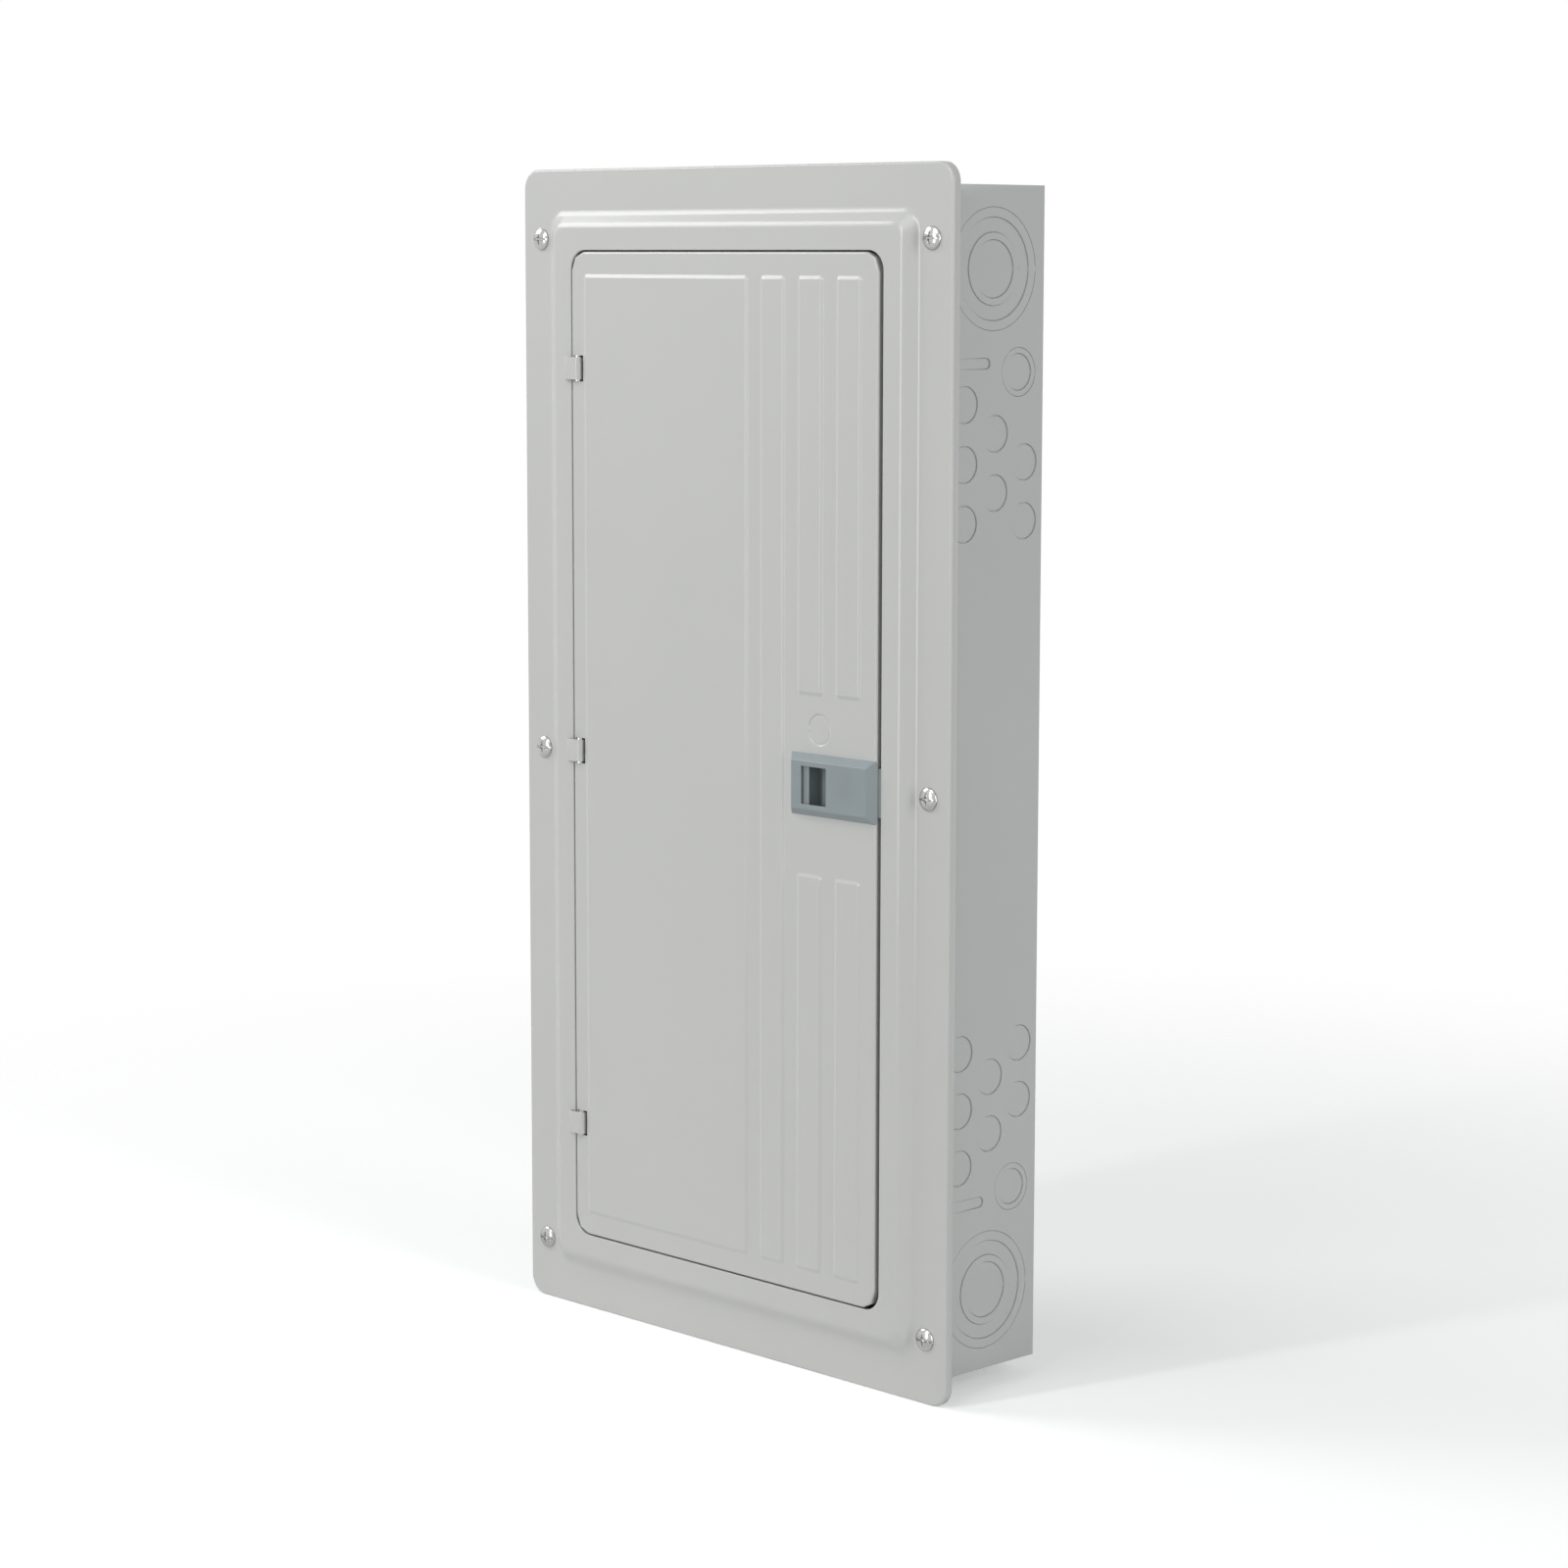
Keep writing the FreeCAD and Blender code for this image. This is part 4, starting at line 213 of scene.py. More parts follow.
class Wall:
    """A flat sheet with half-sheared rings and holes, triangulated between their outlines."""

    def __init__(self, low, high):
        corners = [low, (high[0], low[1]), high, (low[0], high[1])]
        self.points = [np.array(corners)]
        self.heights = [np.zeros(4)]
        self.holes = []

    def outline(self, points, heights):
        self.points.append(points)
        self.heights.append(np.broadcast_to(heights, len(points)).astype(float))

    def hole(self, points):
        self.outline(points, 0)
        self.holes.append(points)

    def ring(self, centre, radius, inside, outside, ties):
        """A sheared circle: flat up to a guard line, a crack, a step, and flat again."""
        count = int(24 + 1300 * radius)
        turn = np.arange(count) * 360 / count
        tied = np.zeros(count)
        for tie in ties:
            away = np.abs((turn - tie + 180) % 360 - 180) * math.pi / 180 * radius
            tied = np.maximum(tied, np.clip(1.5 - away / TIE_HALF, 0, 1))
        crack = min(inside, outside) - SHEAR_DEPTH
        tie = tied * (max(inside, outside) + TIE_RISE)
        free, far_edge = 1 - tied, radius + 2 * RING_STEP
        self.outline(circle(centre, radius - RING_GUARD, count), inside)
        self.outline(circle(centre, radius, count), inside * free + tie)
        self.outline(circle(centre, radius + RING_STEP, count), crack * free + tie)
        self.outline(circle(centre, far_edge, count), outside * free + tie)
        self.outline(circle(centre, far_edge + RING_GUARD, count), outside)

    def tab(self, end, root, z, half, sink):
        """A lanced tab: it sinks from its root to its round end, with a crack round three sides."""
        middle, reach = (end + half + root) / 2, (root - end - half) / 2
        for extra, deep in ((0, 0), (RING_STEP, 1), (2 * RING_STEP, 2)):
            shape = stadium((middle, z), reach, half + extra)
            along = np.clip((root - shape[:, 0]) / (root - end), 0, 1)
            fall = (-sink * along, -(sink + SHEAR_DEPTH) * along, 0 * along)[deep]
            self.outline(shape, fall)

    def build(self, lift):
        """Points and triangles; lift turns (first, second, height) into a place."""
        flat = np.vstack(self.points)
        heights = np.concatenate(self.heights)
        edges, start = [], 0
        for loop in self.points:
            count = len(loop)
            edges += [(start + i, start + (i + 1) % count) for i in range(count)]
            start += count
        found = delaunay_2d_cdt([Vector(p) for p in flat.tolist()], edges, [], 0, 1e-7)
        where = np.array([tuple(v) for v in found[0]])
        height = np.array([heights[source[0]] if source else 0.0 for source in found[3]])
        triangles = np.array(found[2])
        middles = where[triangles].mean(axis=1)
        keep = np.ones(len(triangles), bool)
        for hole in self.holes:
            low, high = hole.min(axis=0), hole.max(axis=0)
            near = ((middles > low) & (middles < high)).all(axis=1)
            keep &= ~(near & inside_outline(middles, hole))
        return lift(where[:, 0], where[:, 1], height), triangles[keep]


def inside_outline(points, outline):
    """Which points lie inside a convex outline that turns anticlockwise."""
    inside = np.ones(len(points), bool)
    for start, end in zip(outline, np.roll(outline, -1, axis=0)):
        along, away = end - start, points - start
        inside &= along[0] * away[:, 1] - along[1] * away[:, 0] > 0
    return inside


def join(parts):
    """Several (points, faces) as one mesh; merge() welds them where they meet."""
    points, faces, start = [], [], 0
    for part_points, part_faces in parts:
        points.append(np.asarray(part_points))
        faces += [tuple(int(i) + start for i in face) for face in part_faces]
        start += len(part_points)
    return np.vstack(points), faces


def merge(made, gap=0.02 * mm, turn_out=False):
    """Welds a piece's meeting points, and turns its faces outwards if asked."""
    work = bmesh.new()
    work.from_mesh(made.data)
    bmesh.ops.remove_doubles(work, verts=work.verts, dist=gap)
    if turn_out:
        bmesh.ops.recalc_face_normals(work, faces=work.faces)
    work.to_mesh(made.data)
    work.free()
    made.data.update()


# each ring: radius, height inside it, height outside it (mm), angles of its ties
LARGE_RINGS = ((17.45, -0.95, -0.25, (0, 180)), (22.1, -0.25, -0.80, (38, 180)),
               (31.2, -0.80, -0.15, (-38, 180)), (37.3, -0.15, 0, (38, 180)))
DOUBLE_RINGS = ((11.1, -0.85, -0.20, (0, 180)), (14.8, -0.20, 0, (50, 180)))
SINGLE_RINGS = ((11.1, -0.70, 0, (90, 270)),)
# levels of the knockouts, in front of the back face
LARGE_LEVEL, NEAR_LEVEL, FAR_LEVEL = 46.5 * mm, 23.3 * mm, 71.6 * mm
# columns of single knockouts: level, how many, and shift along the column in pitches
SINGLE_COLUMNS = ((FAR_LEVEL, 3, 0), (44.2 * mm, 2, 0.5), (17.6 * mm, 2, 0))
SINGLE_PITCH, FIRST_SINGLE = 36.4 * mm, 165 * mm
LARGE_SIDE_Z, DOUBLE_SIDE_Z = 320 * mm, 257 * mm
LARGE_END_X, SMALL_END_X = 118 * mm, 46 * mm
# relief window for each trim screw, and the ear folded in beside it
WINDOW_EDGES, WINDOW_HALF = (82.4 * mm, 98.0 * mm), 6 * mm
EAR_DEPTH, EAR_HALF = 15 * mm, 13 * mm
# holes in the back, at both sides: x, z, radius (mm) and points
BACK_HOLES = ((127.0, -330.2, 3.6, 32), (127.0, 330.2, 3.6, 32),
              (85.0, 253.0, 2.2, 24), (85.0, -316.0, 2.2, 24))


def stamp_rings(wall, rings, centre):
    """A stack of knockout rings round one centre."""
    for radius, inside, outside, ties in rings:
        wall.ring(centre, radius * mm, inside * mm, outside * mm, ties)


def side_wall(side):
    """One side of the wrapper, as (points, triangles)."""
    wall = Wall((fold_radius, -half_height), (box_depth, half_height))
    for up in (-1, 1):
        stamp_rings(wall, LARGE_RINGS, (LARGE_LEVEL, up * LARGE_SIDE_Z))
        stamp_rings(wall, DOUBLE_RINGS, (NEAR_LEVEL, up * DOUBLE_SIDE_Z))
        for level, count, shift in SINGLE_COLUMNS:
            for i in range(count):
                z = FIRST_SINGLE + (i + shift) * SINGLE_PITCH
                stamp_rings(wall, SINGLE_RINGS, (level, up * z))
        wall.tab(49.5 * mm, 80 * mm, up * 262.5 * mm, 3.1 * mm, 0.9 * mm)
    near, far = WINDOW_EDGES
    for z in screw_rows:
        below, above = z - WINDOW_HALF, z + WINDOW_HALF
        wall.hole(np.array([(near, below), (far, below), (far, above), (near, above)]))
    points, faces = wall.build(
        lambda level, z, height: np.column_stack((side * (half_width + height), -level, z))
    )
    return points, faces if side < 0 else faces[:, ::-1]


def back_wall():
    """The wrapper's back, with holes for the wall screws and the pan screws."""
    edge = half_width - fold_radius
    wall = Wall((-edge, -half_height), (edge, half_height))
    for side in (-1, 1):
        for x, z, radius, count in BACK_HOLES:
            wall.hole(circle((side * x * mm, z * mm), radius * mm, count))
    points, faces = wall.build(lambda x, z, height: np.column_stack((x, height, z)))
    return points, faces[:, ::-1]


def fold(side):
    """A quarter-round fold between the back and a side."""
    turn = np.linspace(0, math.pi / 2, 9)
    x = side * (half_width - fold_radius * (1 - np.sin(turn)))
    y = -fold_radius * (1 - np.cos(turn))
    ends = (-half_height, half_height)
    points = np.vstack([np.column_stack((x, y, np.full_like(x, z))) for z in ends])
    count = len(turn)
    faces = [(i, i + 1, i + 1 + count, i + count) for i in range(count - 1)]
    return points, faces if side < 0 else [face[::-1] for face in faces]


def ear(side, z):
    """A trim ear: the edge beside the relief window, folded inwards."""
    x0, x1 = side * (half_width - EAR_DEPTH), side * half_width
    low, high = z - EAR_HALF, z + EAR_HALF
    corners = np.array([(x0, low), (x1, low), (x1, high), (x0, high)])
    return at_level(corners, box_depth), [(0, 1, 2, 3) if side > 0 else (3, 2, 1, 0)]


wrapper_parts = [back_wall()]
for side in (-1, 1):
    wrapper_parts += [side_wall(side), fold(side)]
    wrapper_parts += [ear(side, z) for z in screw_rows]
wrapper = piece("wrapper_sheet", *join(wrapper_parts), "root", "box_steel", BOX_ENAMEL, 28)
merge(wrapper)
thicken(wrapper, box_gauge)
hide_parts("box_wrapper")

# ---------------------------------------------------------------------------------------------
# End walls: top and bottom of the box, with flanges folded along three edges and spot-welded
# inside the wrapper. They carry the same knockout rings as the sides.
# ---------------------------------------------------------------------------------------------
END_FLANGE = 14 * mm

for node, up in (("top_end_wall", 1), ("bottom_end_wall", -1)):
    edge = half_width - box_gauge
    wall = Wall((-edge, box_gauge), (edge, box_depth))
    for side in (-1, 1):
        stamp_rings(wall, LARGE_RINGS, (side * LARGE_END_X, LARGE_LEVEL))
        stamp_rings(wall, DOUBLE_RINGS, (side * SMALL_END_X, FAR_LEVEL))
        stamp_rings(wall, SINGLE_RINGS, (side * SMALL_END_X, NEAR_LEVEL))
    points, faces = wall.build(
        lambda x, level, height: np.column_stack((x, -level, up * (half_height + height)))
    )
    if up > 0:
        faces = faces[:, ::-1]
    foot = up * (half_height - END_FLANGE)
    top = up * half_height
    corners = [(-edge, -box_depth), (-edge, -box_gauge), (edge, -box_gauge), (edge, -box_depth)]
    flange = np.array([(x, y, z) for z in (foot, top) for x, y in corners])
    skirts = [(i, i + 1, i + 5, i + 4) if up < 0 else (i + 4, i + 5, i + 1, i) for i in range(3)]
    bent = join([(points, faces), (flange, skirts)])
    end = piece(node + "_sheet", *bent, "root", "box_steel", BOX_ENAMEL, 28)
    merge(end)
    thicken(end, box_gauge)
    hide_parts(node)

# ---------------------------------------------------------------------------------------------
# Trim panel: one sheet drawn into a raised frame, with its outer edge turned back and a lip
# turned in round the door opening. Satin warm grey enamel.
# ---------------------------------------------------------------------------------------------
trim_low, trim_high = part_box("trim_panel")
trim_half_x = trim_high[0]
trim_half_z = trim_high[2]
frame_level = -trim_low[1]
trim_gauge = 1.2 * mm
flange_level = frame_level - 6.5 * mm
trim_back = -trim_high[1]
door_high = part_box("door_panel")[1]
door_half_x = door_high[0]
door_half_z = door_high[2]
gap_left, gap_right, gap_z = 1.0 * mm, 3.0 * mm, 0.9 * mm
opening_half_x = door_half_x + (gap_left + gap_right) / 2
opening_half_z = door_half_z + gap_z
opening_shift = (gap_right - gap_left) / 2
TRIM_ENAMEL = enamel("trim_enamel", (0.543, 0.548, 0.533), 0.23, 0.008, 0.015)


def rounded_loop(half_x, half_z, radius, arc=16, runs=(8, 30)):
    """Points round a rectangle with round corners: sides divided evenly, quarter circles between,
    so that loops of any size have matching points."""
    radius = max(radius, 0.01 * mm)
    centres = [(half_x - radius, -half_z + radius), (half_x - radius, half_z - radius),
               (-half_x + radius, half_z - radius), (-half_x + radius, -half_z + radius)]
    loop = []
    for i, centre in enumerate(centres):
        turn = np.radians(90 * i - 90) + np.linspace(0, math.pi / 2, arc + 1)
        corner = centre + radius * np.column_stack((np.cos(turn), np.sin(turn)))
        following = np.radians(90 * i)
        ahead = centres[(i + 1) % 4]
        start = corner[-1]
        stop = np.array(ahead) + radius * np.array((math.cos(following), math.sin(following)))
        count = runs[0] if i % 2 else runs[1]
        share = np.linspace(0, 1, count + 1)[1:-1, None]
        loop += [corner, start + (stop - start) * share]
    return np.vstack(loop)


def bend(stations, sizes, steps=7):
    """Rounds a broken line at its inner points: each bend is a parabola tangent to both runs, and
    starts and ends at most the given distance from its point."""
    stations = np.asarray(stations, float)
    rounded = [stations[:1]]
    for i, size in enumerate(sizes, start=1):
        before, here, after = stations[i - 1 : i + 2]
        back, on = before - here, after - here
        reach_back, reach_on = np.linalg.norm(back), np.linalg.norm(on)
        start = here + back * min(size, reach_back * 0.49) / reach_back
        stop = here + on * min(size, reach_on * 0.49) / reach_on
        t = np.linspace(0, 1, steps)[:, None]
        rounded.append((1 - t) ** 2 * start + 2 * t * (1 - t) * here + t**2 * stop)
    rounded.append(stations[-1:])
    return np.vstack(rounded)


def loops_to_mesh(loops, closed=True):
    """Quads between matching loops of points; the last index runs round each loop."""
    loops = np.asarray(loops)
    rows, count = loops.shape[:2]
    index = np.arange(rows * count).reshape(rows, count)
    here, ahead = (index, np.roll(index, -1, axis=1)) if closed else (index[:, :-1], index[:, 1:])
    quads = np.stack((here[:-1], ahead[:-1], ahead[1:], here[1:]), axis=-1).reshape(-1, 4)
    return loops.reshape(-1, 3), quads


FOOT_CORNER, SHOULDER_CORNER = 12.5 * mm, 9.0 * mm
step_x, step_z, step_run = 168.3 * mm, 355.5 * mm, 8.2 * mm
outer_corner, opening_corner = 12.5 * mm, 12.9 * mm
lip_depth = 5 * mm
# half width, half height, corner radius, level and shift to the right of each line of the sheet
trim_stations = [
    (trim_half_x, trim_half_z, outer_corner, trim_back, 0),
    (trim_half_x, trim_half_z, outer_corner, flange_level, 0),
    (step_x, step_z, FOOT_CORNER, flange_level, 0),
    (step_x - step_run, step_z - step_run, SHOULDER_CORNER, frame_level, 0),
    (opening_half_x, opening_half_z, opening_corner, frame_level, opening_shift),
    (opening_half_x, opening_half_z, opening_corner, frame_level - lip_depth, opening_shift),
]
trim_bends = (2.2 * mm, 3.6 * mm, 3.6 * mm, 1.0 * mm)
trim_loops = [
    at_level(rounded_loop(x, z, radius) + (shift, 0), level)
    for x, z, radius, level, shift in bend(trim_stations, trim_bends, 9)
]
trim = piece("trim_sheet", *loops_to_mesh(trim_loops), "root", "trim_paint", TRIM_ENAMEL, 60)
thicken(trim, trim_gauge)
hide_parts("trim_panel")

# ---------------------------------------------------------------------------------------------
# Door: a sheet with its edge turned back all round, six shallow embossed panels, a half-sheared
# lock knockout, slots for the hinge straps and a cut-out for the latch.
# ---------------------------------------------------------------------------------------------
door_level = frame_level + 0.6 * mm
door_gauge = 1.0 * mm
door_corner = 12 * mm
door_bend = 1.7 * mm
PANEL_RISE = 1.0 * mm
PANEL_RUN = 2.6 * mm
PANEL_CORNER = 3.2 * mm
panel_top = 315.8 * mm
ribs = [(x, x + 22.8 * mm) for x in (37.9 * mm, 71.6 * mm, 105.3 * mm)]
# embossed panels: left, right, bottom and top edge
PANELS = [
    (-129.0 * mm, 27.2 * mm, -panel_top, panel_top),
    (*ribs[0], -panel_top, panel_top),
    (*ribs[1], 54.5 * mm, panel_top),
    (*ribs[2], 54.5 * mm, panel_top),
    (*ribs[1], -panel_top, -58.5 * mm),
    (*ribs[2], -panel_top, -58.5 * mm),
]
hinge_x = -door_half_x + 5.8 * mm
hinge_heights = [-254 * mm, 0, 254 * mm]
EYE = 3.6 * mm
strap_half = 7.3 * mm
slot_edges = (hinge_x - EYE - 0.4 * mm, hinge_x + 5.7 * mm)
latch_low, latch_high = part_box("latch_bezel")
latch_z = (latch_low[2] + latch_high[2]) / 2
latch_edges = (73.1 * mm, 131.4 * mm, 17.9 * mm)
lock_centre = (91.5 * mm, 33.5 * mm)
lock_radius = 9.4 * mm
LOCK_TIE = 0.9 * mm
CRACK_WIDTH, CRACK_DEPTH = 0.55 * mm, 0.62 * mm
DISC_RUN, DISC_DEPTH = 0.7 * mm, 0.34 * mm


def panel_rise(x, z):
    """Height of the embossed panels: a nearly straight slope along the distance inside each
    outline, eased at both ends by a quarter of a smooth step. The corners are round."""
    total = np.zeros_like(x)
    corner = PANEL_CORNER
    for x0, x1, z0, z1 in PANELS:
        from_x = np.abs(x - (x0 + x1) / 2) - (x1 - x0) / 2 + corner
        from_z = np.abs(z - (z0 + z1) / 2) - (z1 - z0) / 2 + corner
        outside = np.hypot(np.maximum(from_x, 0), np.maximum(from_z, 0))
        inside = corner - outside - np.minimum(np.maximum(from_x, from_z), 0)
        t = np.clip(inside / PANEL_RUN, 0, 1)
        total = np.maximum(total, PANEL_RISE * (0.75 * t + 0.25 * t * t * (3 - 2 * t)))
    return total


def lock_blank(x, z):
    """Height of the lock knockout: its disc stands back a little behind a narrow crack."""
    away = np.hypot(x - lock_centre[0], z - lock_centre[1])
    turn = np.arctan2(z - lock_centre[1], x - lock_centre[0])
    tied = np.clip(1.6 - np.abs(np.abs(turn) - math.pi) * lock_radius / LOCK_TIE, 0, 1)
    crack = np.exp(-(((away - lock_radius) / CRACK_WIDTH) ** 2))
    disc = np.clip((lock_radius - away) / DISC_RUN, 0, 1)
    return -CRACK_DEPTH * crack * (1 - tied) - DISC_DEPTH * disc


def grid_lines(low, high, pitch, edges, middle, fine=0.36 * mm, reach=1.6 * mm):
    """Coordinates from low to high: evenly spaced, with close lines on each side of the edges and
    across the lock knockout."""
    lines = [np.linspace(low, high, int((high - low) / pitch) + 2)]
    band = lock_radius + reach
    lines.append(np.arange(middle - band, middle + band, fine))
    for edge in edges:
        lines.append(np.arange(edge - reach, edge + reach + fine / 2, fine))
    lines = np.unique(np.concatenate(lines).round(7))
    lines = lines[(lines >= low) & (lines <= high)]
    wide = np.concatenate(([True], np.diff(lines) > 0.12 * mm))
    lines = lines[wide]
    lines[0], lines[-1] = low, high
    return lines


def with_lines(lines, exact):
    """Moves the nearest line onto each exact edge, so that cut-outs have true edges."""
    for edge in exact:
        lines[np.argmin(np.abs(lines - edge))] = edge
    return lines


face_x, face_z = door_half_x - door_bend, door_half_z - door_bend
corner_size = door_corner - door_bend
x_edges = sorted({e for p in PANELS for e in (p[0] + PANEL_RUN / 2, p[1] - PANEL_RUN / 2)})
z_edges = sorted({e for p in PANELS for e in (p[2] + PANEL_RUN / 2, p[3] - PANEL_RUN / 2)})
door_x = grid_lines(-face_x, face_x, 7 * mm, x_edges, lock_centre[0])
door_z = grid_lines(-face_z, face_z, 11 * mm, z_edges, lock_centre[1])
slot_reach = strap_half + 1.2 * mm
slot_rows = [z + s * slot_reach for z in hinge_heights for s in (-1, 1)]
tongue_half = 15.9 * mm
edge_depth, notch_depth = 7 * mm, 6.5 * mm
door_x = with_lines(door_x, [*slot_edges, *latch_edges[:2]])
latch_rows = [latch_z + s * reach for s in (-1, 1) for reach in (latch_edges[2], tongue_half)]
door_z = with_lines(door_z, slot_rows + latch_rows)


def round_corners(x, z):
    """Maps each corner square of the face onto a quarter disc: u, v become u * sqrt(1 - v^2 / 2)
    and v * sqrt(1 - u^2 / 2), which leaves the two inner sides where they are."""
    in_x, in_z = face_x - corner_size, face_z - corner_size
    u = np.clip((np.abs(x) - in_x) / corner_size, 0, 1)
    v = np.clip((np.abs(z) - in_z) / corner_size, 0, 1)
    both = (u > 0) & (v > 0)
    round_x = np.sign(x) * (in_x + corner_size * u * np.sqrt(1 - v * v / 2))
    round_z = np.sign(z) * (in_z + corner_size * v * np.sqrt(1 - u * u / 2))
    return np.where(both, round_x, x), np.where(both, round_z, z)


def door_sheet():
    """Face grid with its cut-outs, and the turned edge carried round the face's outline."""
    x, z = np.meshgrid(door_x, door_z, indexing="ij")
    flat_x, flat_z = round_corners(x, z)
    level = door_level + panel_rise(x, z) + lock_blank(x, z)
    points = np.stack((flat_x, -level, flat_z), axis=-1)
    rows, columns = x.shape
    index = np.arange(rows * columns).reshape(rows, columns)
    quads = np.stack((index[:-1, :-1], index[1:, :-1], index[1:, 1:], index[:-1, 1:]), axis=-1)
    middle_x = (x[:-1, :-1] + x[1:, 1:]) / 2
    middle_z = (z[:-1, :-1] + z[1:, 1:]) / 2
    gone = (middle_x > latch_edges[0]) & (middle_x < latch_edges[1])
    gone &= np.abs(middle_z - latch_z) < latch_edges[2]
    for height in hinge_heights:
        in_slot = (middle_x > slot_edges[0]) & (middle_x < slot_edges[1])
        gone |= in_slot & (np.abs(middle_z - height) < slot_reach)
    ring = np.concatenate((index[:, 0], index[-1, 1:], index[-2::-1, -1], index[0, -2:0:-1]))
    edge = points.reshape(-1, 3)[ring]
    ahead, behind = np.roll(edge, -1, axis=0), np.roll(edge, 1, axis=0)
    along = ahead - behind
    out = np.column_stack((along[:, 2], np.zeros(len(edge)), -along[:, 0]))
    out /= np.linalg.norm(out, axis=1)[:, None]
    turn = np.linspace(0, math.pi / 2, 8)[1:]
    hoops = [edge]
    for t in turn:
        hoops.append(edge + door_bend * math.sin(t) * out + (0, door_bend * (1 - math.cos(t)), 0))
    hoops.append(hoops[-1] * (1, 0, 1) + (0, -(door_level - edge_depth), 0))
    edge_points, edge_quads = loops_to_mesh(hoops)
    corners = edge_points[edge_quads]
    notched = corners[:, :, 0].min(axis=1) > face_x
    notched &= np.abs(corners[:, :, 2].mean(axis=1) - latch_z) < tongue_half
    notched &= corners[:, :, 1].max(axis=1) > -(door_level - notch_depth)
    edge_quads = edge_quads[~notched]
    return join([(points.reshape(-1, 3), quads[~gone]), (edge_points, edge_quads)])


door = piece("door_sheet", *door_sheet(), "door", "trim_paint", TRIM_ENAMEL, 50)
merge(door, 0.01 * mm, turn_out=True)
thicken(door, door_gauge)
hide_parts("door_panel")

# ---------------------------------------------------------------------------------------------
# Directory card: a sheet of white card slipped behind the door's wide panel, ruled across with
# faint grey lines for the circuits' names.
# ---------------------------------------------------------------------------------------------
RULE_PITCH = 6.35 * mm
RULE_WIDTH = 0.16 * mm


def finish_node(node, material):
    """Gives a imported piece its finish."""
    slots = nodes[node].data.materials
    slots.clear()
    slots.append(material)


def ruled_card():
    """Card stock: fibres in two near whites, ruled lines from a repeating height."""
    card = Finish("ruled_card")
    split = card.node("SeparateXYZ")
    card.link(card.place.outputs["Object"], split.inputs["Vector"])
    rule = card.node("Math")
    rule.operation = "PINGPONG"
    rule.inputs[1].default_value = RULE_PITCH
    card.link(split.outputs["Z"], rule.inputs[0])
    thin = card.node("Math")
    thin.operation = "LESS_THAN"
    thin.inputs[1].default_value = RULE_WIDTH
    card.link(rule.outputs["Value"], thin.inputs[0])
    lined = card.node("Mix")
    lined.data_type = "RGBA"
    lined.inputs["B"].default_value = (0.36, 0.37, 0.38, 1)
    fibres = card.shades(card.noise(420, 4), (0.78, 0.775, 0.74), (0.86, 0.855, 0.83))
    card.link(fibres, lined.inputs["A"])
    card.link(thin.outputs["Value"], lined.inputs["Factor"])
    card.link(lined.outputs["Result"], card.shader.inputs["Base Color"])
    card.shader.inputs["Roughness"].default_value = 0.85
    return card.made


finish_node("directory_card", ruled_card())

# ---------------------------------------------------------------------------------------------
# Hinge straps and pins: three straps welded to the raised frame, each curled round a steel pin
# that is welded behind the door sheet and shows in a slot.
# ---------------------------------------------------------------------------------------------
PLATE_GLOSS = (0.26, 0.40)


def plated(name, colour, gloss=PLATE_GLOSS, brushed=0.0, spangle=40):
    """Plated or bare metal: crystals in two near shades, a cloudy gloss and, where asked, fine
    lines along the piece."""
    metal = Finish(name)
    metal.shader.inputs["Metallic"].default_value = 1.0
    cells = metal.node("TexVoronoi")
    cells.inputs["Scale"].default_value = spangle
    metal.link(metal.place.outputs["Object"], cells.inputs["Vector"])
    metal.mottle(cells.outputs["Distance"], colour, 0.10, 0.06)
    metal.gloss(metal.noise(30, 6), *gloss)
    stretch = (900, 900, 30) if brushed else (500, 500, 500)
    metal.skin(metal.noise(1.0, 3, stretch=stretch), 0.08 + brushed, 0.1 * mm)
    return metal.made


ZINC = plated("bright_zinc", (0.50, 0.50, 0.49), (0.12, 0.22))
finish_node("hinge_pins", ZINC)


def eased(node, body, material, edge, segments=2, angle=35):
    """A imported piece's own shape with its edges eased: its points are welded, flat facets joined,
    and a narrow bevel follows each edge. With an edge of 0 it stays sharp, and its facets stay."""
    mesh = nodes[node].data.copy()
    work = bmesh.new()
    work.from_mesh(mesh)
    bmesh.ops.remove_doubles(work, verts=work.verts, dist=0.002 * mm)
    if edge:
        flat = math.radians(0.6)
        bmesh.ops.dissolve_limit(work, angle_limit=flat, verts=work.verts, edges=work.edges)
    work.to_mesh(mesh)
    work.free()
    made = bpy.data.objects.new(node + "_piece", mesh)
    bpy.context.scene.collection.objects.link(made)
    mesh.materials.clear()
    mesh.materials.append(material)
    mesh.shade_smooth()
    mesh.set_sharp_from_angle(angle=math.radians(angle))
    if edge:
        bevel = made.modifiers.new("eased_edges", "BEVEL")
        bevel.width = edge
        bevel.segments = segments
        bevel.limit_method = "ANGLE"
        bevel.angle_limit = math.radians(angle)
        bevel.harden_normals = True
        bevel.use_clamp_overlap = True
    else:
        flatten(made)
    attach(made, body)
    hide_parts(node)
    return made


eased("hinge_straps", "root", TRIM_ENAMEL, 0.3 * mm)

# ---------------------------------------------------------------------------------------------
# Latch: a moulded bezel snapped into the door, with a sliding bolt behind it. Two springs press
# the bolt's tongue behind the lip of the frame; a fingertip in the window draws it back.
# ---------------------------------------------------------------------------------------------


